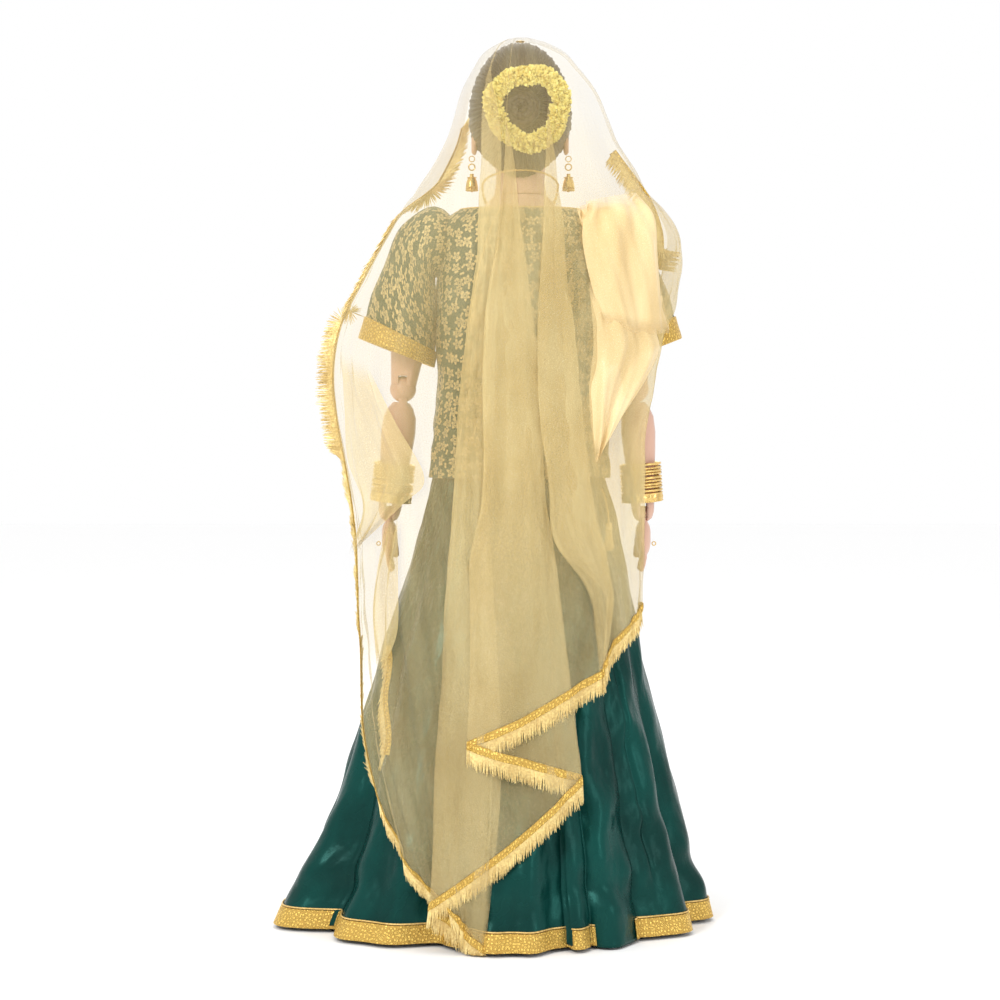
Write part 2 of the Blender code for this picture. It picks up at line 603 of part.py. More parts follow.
# height, half-width left, half-width right, depth behind, edge at the left, edge at the right
VEIL = ((0.00, 0.350, 0.300, 0.300, 0.160, 0.060), (0.10, 0.312, 0.268, 0.281, 0.200, 0.075),
        (0.17, 0.290, 0.250, 0.268, 0.216, 0.090), (0.30, 0.262, 0.222, 0.240, 0.243, 0.120),
        (0.42, 0.243, 0.208, 0.214, 0.240, 0.150), (0.55, 0.246, 0.206, 0.178, 0.245, 0.168),
        (0.65, 0.256, 0.206, 0.158, 0.255, 0.170), (0.80, 0.276, 0.206, 0.146, 0.275, 0.178),
        (0.88, 0.266, 0.212, 0.146, 0.265, 0.190), (0.95, 0.238, 0.217, 0.148, 0.237, 0.208),
        (1.00, 0.212, 0.220, 0.150, 0.211, 0.219), (1.05, 0.190, 0.200, 0.153, 0.189, 0.199),
        (1.08, 0.166, 0.174, 0.156, 0.166, 0.174))
# share across from the right edge to the left edge, height of the hem
HEM = ((0.00, 0.470), (0.12, 0.370), (0.30, 0.215), (0.50, 0.125), (0.66, 0.040), (0.75, 0.014), (0.84, 0.060),
       (0.93, 0.180), (1.00, 0.330))


def fall_point(share, z):
    """A point of the hanging veil: an oval about the figure, from the right edge to the left."""
    left, right, back, edge_left, edge_right = interpolate(VEIL, z)
    start = -math.asin(min(1.0, edge_right / right))
    end = math.asin(min(1.0, edge_left / left))
    turn = start + (end - start) * share
    wide = left if turn > 0 else right
    return Vector((wide * math.sin(turn), back * math.cos(turn), z))


def sheet(rows):
    """(verts, faces) of an open grid of points."""
    wide = len(rows[0])
    faces = [[r * wide + k, r * wide + k + 1, (r + 1) * wide + k + 1, (r + 1) * wide + k]
             for r in range(len(rows) - 1) for k in range(wide - 1)]
    return [p for row in rows for p in row], faces


def thicken(made, thick=CLOTH):
    modifier = made.modifiers.new("cloth", "SOLIDIFY")
    modifier.thickness = thick
    modifier.offset = 0.0
    modifier.use_rim = True


def build_fall():
    """The hanging part of the veil, from the shoulders to the hem, with its fringe below it."""
    count, rows = 20, 9
    shares = [k / (count - 1) for k in range(count)]
    net, fringe = [], []
    for r in range(rows):
        t = r / (rows - 1)
        net.append([fall_point(s, FALL_TOP + (interpolate(HEM, s)[0] + FRINGE - FALL_TOP) * t) for s in shares])
    for lift in (FRINGE - 0.008, 0.0):
        fringe.append([fall_point(s, interpolate(HEM, s)[0] + lift) for s in shares])
    thicken(add_object("veil_fall", *sheet(net), NET))
    thicken(add_object("veil_fringe", *sheet(fringe), GOLD_LACE))


def hood_point(turn, polar):
    """A point of the hood: a dome over the crown that stands clear of the bun and widens to the shoulders.
    turn 0 is the back; polar runs from 0 at the crown to 1 at the foot."""
    crown = HEAD_CENTRE.z + HEAD_HALF.z + HAIR_THICK + 0.0065
    left, right, back, _, _ = interpolate(VEIL, HOOD_FOOT)
    profile = ((0.0, 0.0, 0.0, 1.0), (0.10, 0.035, 0.042, 0.975), (0.22, 0.066, 0.092, 0.90),
               (0.34, 0.090, 0.138, 0.80), (0.46, 0.104, 0.160, 0.70), (0.60, 0.112, 0.168, 0.50),
               (0.76, 0.120, 0.168, 0.28))
    if polar >= 0.76:
        share = (polar - 0.76) / 0.24
        foot = left if math.sin(turn) > 0 else right
        wide = 0.120 + (foot - 0.120) * share
        deep = 0.168 + (back - 0.168) * share
        up = 0.28 * (1 - share)
    else:
        wide, deep, up = interpolate(profile, polar)
    return Vector((wide * math.sin(turn), deep * math.cos(turn), HOOD_FOOT + up * (crown - HOOD_FOOT)))


def build_hood():
    """The part of the veil over the head, from one side edge round the back to the other."""
    count, rows = 16, 9
    reach = math.radians(90)
    turns = [-reach + 2 * reach * k / (count - 1) for k in range(count)]
    polars = [0.03 + 0.97 * r / (rows - 1) for r in range(rows)]
    rings = [[hood_point(a, p) for a in turns] for p in polars]
    thicken(add_object("veil_hood", *sheet(rings), NET))
    for side, sign in SIGN.items():
        strip = []
        for p in polars[1:]:
            near = hood_point(sign * reach, p)
            strip.append([near + Vector((0, -0.0005 - 0.5 * CLOTH, 0)), near + Vector((0, -FRINGE, 0))])
        thicken(add_object(f"hood_fringe_{side}", *sheet(strip), GOLD_LACE))


def main():
    clear_scene()
    build_stand()
    build_trunk()
    build_head()
    build_hair()
    build_ear_drops()
    for side in SIGN:
        build_arm(side)
    build_blouse()
    build_skirt()
    build_necklace()
    build_ties()
    build_fall()
    build_hood()


main()
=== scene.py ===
"""Looks for a life-size standing kathputli: carved head and limbs, brocade blouse, satin skirt, a net
veil with folds and a thread fringe, hair with a flower ring, bangles and tied cords.
Metres, +Z up, the figure faces -Y and its left is +X."""

import math

import bmesh
import bpy
import numpy as np
from bpy.props import FloatProperty, FloatVectorProperty, IntProperty, PointerProperty
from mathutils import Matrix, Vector


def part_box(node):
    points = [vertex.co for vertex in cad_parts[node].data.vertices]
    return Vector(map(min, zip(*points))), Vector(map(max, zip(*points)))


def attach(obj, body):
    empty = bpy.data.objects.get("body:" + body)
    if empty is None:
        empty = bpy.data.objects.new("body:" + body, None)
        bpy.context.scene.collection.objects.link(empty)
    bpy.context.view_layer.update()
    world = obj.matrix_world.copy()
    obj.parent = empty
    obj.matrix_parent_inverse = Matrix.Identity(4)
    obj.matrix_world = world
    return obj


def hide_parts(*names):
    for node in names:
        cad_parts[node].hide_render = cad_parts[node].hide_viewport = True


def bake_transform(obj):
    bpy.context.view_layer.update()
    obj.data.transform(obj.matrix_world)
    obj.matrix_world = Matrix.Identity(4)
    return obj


bl_info = {
    "name": "Kathputli Figure",
    "version": (1, 0, 0),
    "blender": (4, 5, 0),
    "location": "3D View > Sidebar > Puppet",
    "description": "Dresses the packed puppet in cloth, hair, flowers and paint",
    "category": "Add Mesh",
}

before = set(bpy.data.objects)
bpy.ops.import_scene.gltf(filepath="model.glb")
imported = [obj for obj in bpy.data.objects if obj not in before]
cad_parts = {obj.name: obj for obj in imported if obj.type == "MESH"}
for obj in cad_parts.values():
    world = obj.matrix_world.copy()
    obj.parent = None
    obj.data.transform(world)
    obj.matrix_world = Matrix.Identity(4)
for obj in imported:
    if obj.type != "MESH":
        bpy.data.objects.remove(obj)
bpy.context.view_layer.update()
SIDES = {"left": 1.0, "right": -1.0}


# ---------------------------------------------------------------- tables and curves

def read_table(rows, at, column=1):
    """A smooth reading of (at, value, ...) rows: Hermite pieces with the mean slope of both sides at each row."""
    rows = np.array(sorted(rows), float)
    x, y = rows[:, 0], rows[:, column]
    at = np.clip(np.asarray(at, float), x[0], x[-1])
    step = np.diff(y) / np.diff(x)
    slope = np.concatenate([step[:1], 0.5 * (step[1:] + step[:-1]), step[-1:]])
    slope[1:-1] *= (step[1:] * step[:-1] > 0)
    i = np.clip(np.searchsorted(x, at, side="right") - 1, 0, len(x) - 2)
    h = x[i + 1] - x[i]
    t = (at - x[i]) / h
    return ((2 * t ** 3 - 3 * t ** 2 + 1) * y[i] + (t ** 3 - 2 * t ** 2 + t) * h * slope[i]
            + (3 * t ** 2 - 2 * t ** 3) * y[i + 1] + (t ** 3 - t ** 2) * h * slope[i + 1])


def smooth_step(at, low, high):
    t = np.clip((at - low) / (high - low), 0, 1)
    return t * t * (3 - 2 * t)


def unit(vectors):
    return vectors / np.maximum(np.linalg.norm(vectors, axis=-1, keepdims=True), 1e-12)


def smooth_route(points, steps):
    """A Catmull-Rom curve through the points: each span is the cubic that its four nearest points give."""
    p = np.array(points, float)
    p = np.vstack([2 * p[0] - p[1], p, 2 * p[-1] - p[-2]])
    t = (np.arange(steps) / steps)[None, :, None]
    a, b, c, d = (p[k:len(p) - 3 + k, None, :] for k in range(4))
    spans = 0.5 * (2 * b + (c - a) * t + (2 * a - 5 * b + 4 * c - d) * t ** 2 + (3 * b - a - 3 * c + d) * t ** 3)
    return np.vstack([spans.reshape(-1, 3), p[-2]])


# ---------------------------------------------------------------- meshes

def lengths_along(points, axis):
    """Mean distance run along one axis of a grid of points."""
    steps = np.linalg.norm(np.diff(points, axis=axis), axis=-1)
    return np.concatenate([[0.0], np.cumsum(steps.mean(axis=1 - axis))])


def run_of(line):
    """Distance run along a line of points."""
    return np.concatenate([[0.0], np.cumsum(np.linalg.norm(np.diff(line, axis=0), axis=1))])


def read_line(line, run, at):
    return np.stack([np.interp(at, run, line[:, i]) for i in range(3)], -1)


def inside_out(shape):
    return shape[0], shape[1][:, ::-1], shape[2]


def grid(points, flip=False, own_run=False):
    """(points, faces, uv) of a grid of rows x columns; uv is the distance run along each, in metres: the mean
    of all lines, or down each column its own."""
    rows, cols = points.shape[:2]
    number = np.arange(rows * cols).reshape(rows, cols)
    quads = np.stack([number[:-1, :-1], number[1:, :-1], number[1:, 1:], number[:-1, 1:]], -1).reshape(-1, 4)
    across, down = lengths_along(points, 1), lengths_along(points, 0)
    uv = np.stack(np.meshgrid(across, down), -1)
    if own_run:
        uv[1:, :, 1] = np.cumsum(np.linalg.norm(np.diff(points, axis=0), axis=-1), axis=0)
    uv = uv.reshape(-1, 2)
    return points.reshape(-1, 3), quads[:, ::-1] if flip else quads, uv


def tube(path, radii, sides, reference=(1, 0, 0), squash=1.0):
    """A round profile carried along a path: at each point the ring lies across the path, its first
    axis being the reference vector made square to the path. Both ends close to a point."""
    path = np.array(path, float)
    radii = np.broadcast_to(np.asarray(radii, float), (len(path),))
    ahead = unit(np.gradient(path, axis=0))
    side = unit(np.array(reference, float) - ahead * (ahead @ np.array(reference, float))[:, None])
    other = np.cross(ahead, side)
    path = np.vstack([path[:1], path, path[-1:]])
    side, other = np.vstack([side[:1], side, side[-1:]]), np.vstack([other[:1], other, other[-1:]])
    radii = np.concatenate([[0.0], radii, [0.0]])
    turn = np.linspace(0, 2 * np.pi, sides + 1)
    ring = (side[:, None] * np.cos(turn)[None, :, None] + squash * other[:, None] * np.sin(turn)[None, :, None])
    return grid(path[:, None] + radii[:, None, None] * ring, flip=True)


def turned(profile, sides, centre=(0, 0, 0)):
    """A profile of (radius, height) turned about the vertical through centre."""
    profile = np.array(profile, float)
    turn = np.linspace(0, 2 * np.pi, sides + 1)
    points = np.stack([profile[:, :1] * np.cos(turn), profile[:, :1] * np.sin(turn),
                       np.repeat(profile[:, 1:], sides + 1, 1)], -1)
    return grid(points + np.array(centre, float))


def ring(centre, normal, major, minor, around, sides, reference=(1, 0, 0), waves=0, swell=0.0):
    """A torus: a circle of radius minor, swelling by waves, carried round a circle of radius major."""
    normal = unit(np.array(normal, float))
    side = unit(np.array(reference, float) - normal * (normal @ np.array(reference, float)))
    other = np.cross(normal, side)
    a, b = np.meshgrid(np.linspace(0, 2 * np.pi, around + 1), np.linspace(0, 2 * np.pi, sides + 1), indexing="ij")
    fat = minor * (1 + swell * np.cos(waves * a))
    out = side * np.cos(a)[..., None] + other * np.sin(a)[..., None]
    points = np.array(centre, float) + out * (major + fat * np.cos(b))[..., None] \
        + normal * (fat * np.sin(b))[..., None]
    return grid(points, flip=True)


def copies(shape, places, axes, sizes):
    """Many turned and scaled copies of one small shape: point = place + axes times (size times point)."""
    verts, faces, uv = shape
    count = len(places)
    local = verts[None] * np.asarray(sizes, float).reshape(count, -1)[:, None, :]
    moved = places[:, None] + np.einsum("nij,nkj->nki", axes, local)
    shift = (np.arange(count) * len(verts))[:, None, None]
    return moved.reshape(-1, 3), (faces[None] + shift).reshape(-1, faces.shape[1]), np.tile(uv, (count, 1))


def joined(shapes):
    """Several (points, faces, uv) as one."""
    start = np.cumsum([0] + [len(s[0]) for s in shapes[:-1]])
    return (np.vstack([s[0] for s in shapes]), np.vstack([s[1] + k for s, k in zip(shapes, start)]),
            np.vstack([s[2] for s in shapes]))


def paint_on(mesh, values):
    """A number for each point, under a name that the finishes read."""
    for key, numbers in values.items():
        mesh.attributes.new(key, "FLOAT", "POINT").data.foreach_set("value", numbers.astype(np.float32).ravel())


def make(name, shape, finish, weld=True, values=None):
    """A mesh object from points, faces and uv, its seams and poles welded, its material set."""
    verts, faces, uv = shape
    mesh = bpy.data.meshes.new(name)
    mesh.from_pydata(verts.tolist(), [], faces.tolist())
    layer = mesh.uv_layers.new(name="UVMap")
    layer.data.foreach_set("uv", uv[faces.ravel()].astype(np.float32).ravel())
    paint_on(mesh, values or {})
    if weld:
        work = bmesh.new()
        work.from_mesh(mesh)
        bmesh.ops.remove_doubles(work, verts=work.verts, dist=1e-6)
        bmesh.ops.dissolve_degenerate(work, edges=work.edges, dist=1e-7)
        work.to_mesh(mesh)
        work.free()
    mesh.shade_smooth()
    made = bpy.data.objects.new(name, mesh)
    mesh.materials.append(finish)
    bpy.context.scene.collection.objects.link(made)
    return made


SHARP_EDGE = math.radians(38.0)     # edges of the carved wood that turn more than this stay sharp


def welded_copy(name, node, finish_made):
    """A smooth-shaded copy of a CAD node, its loose triangles welded."""
    made = bpy.data.objects.new(name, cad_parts[node].data.copy())
    bpy.context.scene.collection.objects.link(made)
    work = bmesh.new()
    work.from_mesh(made.data)
    bmesh.ops.remove_doubles(work, verts=work.verts, dist=1e-5)
    work.to_mesh(made.data)
    work.free()
    made.data.materials.clear()
    made.data.materials.append(finish_made)
    made.data.shade_smooth()
    made.data.set_sharp_from_angle(angle=SHARP_EDGE)
    return made


def soften(made, voxel, rounds):
    """Closed shells, overlapping or not, made one skin: voxels, then a light smoothing, both applied."""
    material = made.data.materials[0]
    remesh = made.modifiers.new("fuse", "REMESH")
    remesh.mode, remesh.voxel_size = "VOXEL", voxel
    relax = made.modifiers.new("relax", "SMOOTH")
    relax.iterations, relax.factor = rounds, 0.5
    bpy.context.view_layer.update()
    mesh = bpy.data.meshes.new_from_object(made.evaluated_get(bpy.context.evaluated_depsgraph_get()))
    made.modifiers.clear()
    made.data = mesh
    mesh.materials.clear()
    mesh.materials.append(material)
    mesh.shade_smooth()
    return made


def thicken(made, thick, offset=-1.0):
    modifier = made.modifiers.new("cloth", "SOLIDIFY")
    modifier.thickness = thick
    modifier.offset = offset
    return made


def give(nodes, finish):
    """A finish for CAD nodes that stay in view."""
    for name in nodes:
        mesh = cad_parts[name].data
        mesh.materials.clear()
        mesh.materials.append(finish)


def points_of(made):
    flat = np.zeros(len(made.data.vertices) * 3)
    made.data.vertices.foreach_get("co", flat)
    return flat.reshape(-1, 3)


def area_of(made):
    mesh = made.data
    size = np.zeros(len(mesh.polygons))
    mesh.polygons.foreach_get("area", size)
    return float(size.sum())


# ---------------------------------------------------------------- shader maths

def maths_call(operation):
    return lambda value, *others: value.maths(operation, *others)


class Value:
    """A number in a shader: + - * on it, and the calls below, add Math nodes."""

    def __init__(self, finish, socket):
        self.finish, self.socket = finish, socket

    def maths(self, operation, *others, first=None):
        values = [self, *others] if first is None else [first, self]
        return self.finish.node("ShaderNodeMath", {"operation": operation}, dict(enumerate(values)))

    def __rsub__(self, other):
        return self.maths("SUBTRACT", first=other)

    __add__ = __radd__ = maths_call("ADD")
    __mul__ = __rmul__ = maths_call("MULTIPLY")
    __sub__, power = maths_call("SUBTRACT"), maths_call("POWER")
    sine, size = maths_call("SINE"), maths_call("ABSOLUTE")

    def between(self, low, high):
        """0 at low, 1 at high, held outside them."""
        return self.finish.node("ShaderNodeMapRange", {"interpolation_type": "SMOOTHSTEP"},
                                {"Value": self, "From Min": low, "From Max": high})

    def limited(self):
        return self.finish.node("ShaderNodeClamp", {}, {"Value": self})


class Finish:
    """A node material: node() adds any node, with its settings first and then its values or links."""

    def __init__(self, name, **constants):
        self.material = bpy.data.materials.new(name)
        self.material.use_nodes = True
        self.tree = self.material.node_tree
        self.shader = self.tree.nodes["Principled BSDF"]
        for key, number in constants.items():
            self.put(self.shader, key.replace("_", " ").title().replace("Ior", "IOR"), number)

    def put(self, node, key, given):
        socket = node.inputs[key]
        if isinstance(given, Value):
            given = given.socket
        if isinstance(given, bpy.types.NodeSocket):
            self.tree.links.new(given, socket)
        elif hasattr(given, "__len__") and len(given) == 3 and socket.type == "RGBA":
            socket.default_value = (*given, 1.0)
        else:
            socket.default_value = given

    def node(self, kind, settings=None, inputs=None, output=0):
        node = self.tree.nodes.new(kind)
        for key, setting in (settings or {}).items():
            setattr(node, key, setting)
        for key, given in (inputs or {}).items():
            self.put(node, key, given)
        return Value(self, node.outputs[output])

    def place(self, kind="UV", scale=(1, 1, 1), shift=(0, 0, 0)):
        """Coordinates of the piece, in metres, through a Mapping node."""
        read = self.node("ShaderNodeTexCoord", output=kind)
        return self.node("ShaderNodeMapping", {}, {"Vector": read, "Scale": scale, "Location": shift})

    def split(self, vector):
        node = self.node("ShaderNodeSeparateXYZ", {}, {0: vector}).socket.node
        return [Value(self, out) for out in node.outputs]

    def noise(self, place, scale, detail=2.0, roughness=0.5):
        return self.node("ShaderNodeTexNoise", {}, {"Vector": place, "Scale": scale, "Detail": detail,
                                                    "Roughness": roughness})

    def mix(self, share, low, high):
        """A colour between two."""
        return self.node("ShaderNodeMix", {"data_type": "RGBA"}, {0: share, 6: low, 7: high}, 2)

    def spot(self, place, scale, random=1.0):
        """A Voronoi pattern: (distance to the nearest cell's point, a number of that cell)."""
        cells = self.node("ShaderNodeTexVoronoi", {"voronoi_dimensions": "2D"},
                          {"Vector": place, "Scale": scale, "Randomness": random}, "Distance")
        out = cells.socket.node.outputs
        return cells, self.split(out["Color"])[0], Value(self, out["Position"])

    def bump(self, height, distance, strength=1.0):
        """Height in metres times distance as a bump on the shader's normal."""
        self.put(self.shader, "Normal", self.node(
            "ShaderNodeBump", {}, {"Height": height, "Distance": distance, "Strength": strength}, "Normal"))

    def colour(self, given):
        self.put(self.shader, "Base Color", given)

    def attribute(self, name):
        return self.node("ShaderNodeAttribute", {"attribute_name": name}, {}, "Fac")


def shade(colour, *factors):
    """The colour times one factor, or times one for each channel."""
    return tuple(c * k for c, k in zip(colour, factors if len(factors) == 3 else factors * 3))


def organza_finish(name, colour, alpha):
    """Sheer net: fine slubs and pale streaks in the colour, tiny glittering points that are smoother and more
    metallic and painted near white as a painted glint, and threads that let light by."""
    f = Finish(name, sheen_weight=0.25, sheen_roughness=0.4, specular_ior_level=0.4)
    place = f.place("UV")
    grain = f.noise(place, 620.0, 2.0, 0.7)
    cloud = f.noise(f.place("UV", (5.0, 1.4, 1.0)), 3.0, 3.0)
    slub = f.noise(f.place("UV", (330.0, 26.0, 1.0)), 1.0, 2.0)
    glitter_and_glint = f.noise(place, 1150.0, 0.0).between(0.70, 0.78)
    pale = tuple(min(1.0, c * 1.06 + 0.03) for c in colour)
    deep = shade(colour, 0.92, 0.86, 0.76)
    body = f.mix(cloud.between(0.30, 0.70), deep, pale)
    # painted glint: the glittering points are painted near white in the colour
    f.colour(f.mix(glitter_and_glint * 0.6, body, (1.0, 0.96, 0.80)))
    f.put(f.shader, "Roughness", 0.5 - 0.18 * glitter_and_glint)
    f.put(f.shader, "Metallic", 0.08 + 0.25 * glitter_and_glint)
    cover = alpha + f.attribute("bunched") * 0.15 + (grain - 0.5) * 0.42 + (slub - 0.5) * 0.08 \
        + (cloud - 0.5) * 0.10 + 0.22 * glitter_and_glint
    f.put(f.shader, "Alpha", cover.limited())
    f.bump(grain, 0.0006, 0.5)
    return f.material


def satin_finish(name, colour):
    """Satin: teal with a coloured gloss, a fine twill line and soft creases, painted darker in their hollows as shade
    and lighter on their crests as highlight.
    """
    f = Finish(name, anisotropic=0.35, specular_ior_level=0.18)
    place = f.place("UV")
    twill = f.node("ShaderNodeTexWave", {"wave_type": "BANDS", "bands_direction": "DIAGONAL"},
                   {"Vector": place, "Scale": 420.0, "Distortion": 0.4})
    crease = f.noise(f.place("UV", (16.0, 6.0, 1.0)), 1.0, 3.0, 0.55)
    ripple = f.noise(f.place("UV", (60.0, 34.0, 1.0)), 1.0, 2.0)
    # painted shade and highlight: the crease noise that bumps the folds also darkens their hollows and lightens their
    # crests
    f.colour(f.mix(crease.between(0.25, 0.75), shade(colour, 0.58), shade(colour, 1.22)))
    f.put(f.shader, "Metallic", 0.45 + (crease - 0.5) * 0.2)
    f.put(f.shader, "Roughness", 0.27 + (ripple - 0.5) * 0.10)
    f.bump(crease + ripple * 0.10 + twill * 0.004, 0.020, 0.6)
    return f.material


def petals_of(f, place, scale, petals, turn):
    """A flower in each cell: its edge is a circle that swells petals times round the cell's point."""
    distance, number, point = f.spot(place, scale, 0.55)
    away = f.node("ShaderNodeVectorMath", {"operation": "SUBTRACT"}, {0: place, 1: point})
    x, y, _ = f.split(away.socket)
    angle = f.node("ShaderNodeMath", {"operation": "ARCTAN2"}, {0: y, 1: x})
    swell = (angle * petals + number * 6.28 + turn).sine()
    return distance, swell, number


def brocade_finish(name, ground, gold):
    """Brocade: gold flowers with a dark eye and small leaves woven on a green ground with a fine rib."""
    f = Finish(name, sheen_weight=0.15, specular_ior_level=0.5)
    place = f.place("UV")
    distance, swell, number = petals_of(f, place, 53.0, 5.0, 0.0)
    edge = 0.335 + 0.10 * swell
    flower = (distance - edge).between(0.03, -0.03)
    eye = distance.between(0.12, 0.07)
    ring_line = (distance - 0.19).size().between(0.035, 0.015)
    leaf_distance, leaf_swell, leaf_number = petals_of(f, f.place("UV", shift=(0.013, 0.021, 0.0)), 98.0, 2.0, 1.1)
    leaf = (leaf_distance - (0.24 + 0.15 * leaf_swell)).between(0.03, -0.03) * leaf_number.between(0.50, 0.55)
    gold_mask = ((flower * (1 - eye * 0.8) * (1 - ring_line * 0.75)) + leaf * (1 - flower)).limited()
    rib = f.node("ShaderNodeTexWave", {"bands_direction": "X"}, {"Vector": place, "Scale": 260.0,
                                                                 "Distortion": 0.2})
    weave = f.noise(place, 700.0, 1.0)
    green = f.mix(weave, shade(ground, 0.70), shade(ground, 1.35))
    bright = f.mix(number, shade(gold, 0.80), gold)
    f.colour(f.mix(gold_mask * (0.80 + 0.2 * rib), green, bright))
    f.put(f.shader, "Metallic", gold_mask * 0.35)
    f.put(f.shader, "Roughness", 0.62 - 0.22 * gold_mask)
    f.bump(gold_mask * 0.6 + weave * 0.12 + rib * 0.08, 0.0012)
    return f.material


def lace_finish(name, colour):
    """Gota lace: a gold ribbon with raised scrolls in diamonds, darker between, and beaded edges."""
    f = Finish(name, specular_ior_level=0.6)
    place = f.place("UV")
    u, v, _ = f.split(place.socket)
    cross = ((u + v) * 420.0).sine() * ((u - v) * 420.0).sine()
    distance, number, _ = f.spot(place, 190.0, 0.7)
    scroll = (distance * 9.0 + cross * 1.4).sine()
    raised = (scroll * 0.5 + cross * 0.35).between(-0.25, 0.35)
    thread = f.noise(place, 900.0, 1.0)
    dark = shade(colour, 0.55, 0.48, 0.35)
    f.colour(f.mix(raised * (0.75 + 0.25 * thread), dark, colour))
    f.put(f.shader, "Metallic", 0.45 + 0.35 * raised)
    f.put(f.shader, "Roughness", 0.46 - 0.14 * raised + 0.08 * number)
    f.bump(raised + thread * 0.25, 0.0016)
    return f.material


def thread_finish(name, colour, roughness=0.38, metallic=0.5):
    """Metallic thread: strands twisted along it, lighter and darker from one to the next."""
    f = Finish(name, specular_ior_level=0.6)
    place = f.place("Object")
    strand = f.noise(place, 330.0, 2.0)
    patch = f.noise(place, 34.0, 2.0)
    pale = tuple(min(1.0, c * 1.15 + 0.10) for c in colour)
    f.colour(f.mix((strand * 0.6 + patch * 0.5).between(0.35, 0.75), shade(colour, 0.78), pale))
    f.put(f.shader, "Metallic", metallic + (patch - 0.5) * 0.3)
    f.put(f.shader, "Roughness", roughness + (strand - 0.5) * 0.2)
    f.bump(strand, 0.0006)
    return f.material


def metal_finish(name, colour, roughness=0.30, scale=60.0):
    """Worn metal: a hammered skin, darker in its hollows, with fine scratches."""
    f = Finish(name, metallic=1.0)
    place = f.place("Object")
    cloud = f.noise(place, scale, 3.0)
    scratch = f.noise(f.place("Object", (900.0, 900.0, 60.0)), 1.0, 2.0)
    f.colour(f.mix(cloud.between(0.3, 0.7), shade(colour, 0.72), colour))
    f.put(f.shader, "Roughness", roughness + (scratch - 0.5) * 0.22)
    f.bump(cloud + scratch * 0.2, 0.0008, 0.6)
    return f.material


def wood_finish(name, colour, paint=None):
    """Carved wood with its grain up the length; painted wood shows the grain only faintly through."""
    f = Finish(name, coat_roughness=0.25, specular_ior_level=0.45)
    rings = f.noise(f.place("Object", (38.0, 38.0, 2.4)), 1.0, 4.0, 0.6)
    pore = f.noise(f.place("Object", (620.0, 620.0, 22.0)), 1.0, 2.0)
    if paint is None:
        lines = (rings * 34.0).sine() * 0.5 + 0.5
        f.colour(f.mix((lines * 0.6 + pore * 0.4).limited(), shade(colour, 0.55), colour))
        f.put(f.shader, "Roughness", 0.52 + (pore - 0.5) * 0.25)
        f.bump(lines * 0.4 + pore * 0.6, 0.0008)
        return f.material
    tone = f.mix(rings.between(0.30, 0.72), shade(colour, 0.93, 0.90, 0.88), colour)
    blush, lip, line = (f.attribute(key) for key in ("blush", "lip", "line"))
    tone = f.mix(blush * 0.45, tone, paint["blush"])
    tone = f.mix(lip, tone, paint["lip"])
    f.colour(f.mix(line, tone, paint["line"]))
    f.put(f.shader, "Roughness", 0.44 + (pore - 0.5) * 0.14 - 0.12 * lip)
    f.put(f.shader, "Coat Weight", 0.18 + 0.2 * lip)
    f.bump(rings * 0.5 + pore * 0.12, 0.0010, 0.5)
    return f.material


def hair_finish(name, colour):
    """Combed hair: long strands along the piece, the lighter ones a painted highlight, warm where the light would
    catch them.
    """
    f = Finish(name, anisotropic=0.5, specular_ior_level=0.5)
    strand = f.noise(f.place("UV", (900.0, 16.0, 1.0)), 1.0, 3.0)
    lock = f.noise(f.place("UV", (120.0, 5.0, 1.0)), 1.0, 2.0)
    # painted highlight: the lighter, warmer strands and locks are painted into the colour
    f.colour(f.mix((strand * 0.6 + lock * 0.4).between(0.3, 0.75), shade(colour, 0.5),
                   shade(colour, 2.2)))
    f.put(f.shader, "Roughness", 0.42 + (lock - 0.5) * 0.2)
    f.bump(strand * 0.7 + lock, 0.0030, 0.8)
    return f.material


def petal_finish(name, colour):
    """Cloth petals: paler at the tip, warmer at the root, with a fine crinkle."""
    f = Finish(name, sheen_weight=0.3)
    root = f.attribute("root")
    patch = f.noise(f.place("Object"), 90.0, 2.0)
    warm = shade(colour, 0.90, 0.70, 0.45)
    f.colour(f.mix((root + (patch - 0.5) * 0.5).limited(), colour, warm))
    f.put(f.shader, "Roughness", 0.72 + (patch - 0.5) * 0.2)
    f.bump(patch, 0.0015)
    return f.material


def calico_finish(name, colour):
    """Plain calico: a square weave over stuffing, its colour darker where the lumps of the stuffing dip."""
    f = Finish(name, sheen_weight=0.1)
    place = f.place("Object")
    weave = f.noise(place, 650.0, 1.0)
    patch = f.noise(place, 14.0, 3.0)
    # the patch noise that lowers the bump also darkens the colour there
    f.colour(f.mix((weave * 0.5 + patch * 0.5).limited(), shade(colour, 0.82), colour))
    f.put(f.shader, "Roughness", 0.85 + (weave - 0.5) * 0.1)
    f.bump(weave * 0.3 + patch, 0.0015)
    return f.material


def plain_finish(name, colour, roughness, spread=0.08):
    """Flat paint with a slight brushed unevenness."""
    f = Finish(name, specular_ior_level=0.5)
    brush = f.noise(f.place("Object", (140.0, 140.0, 50.0)), 1.0, 2.0)
    f.colour(f.mix(brush, tuple(c * (1 - spread) for c in colour), tuple(min(1, c * (1 + spread)) for c in colour)))
    f.put(f.shader, "Roughness", roughness + (brush - 0.5) * 0.12)
    return f.material


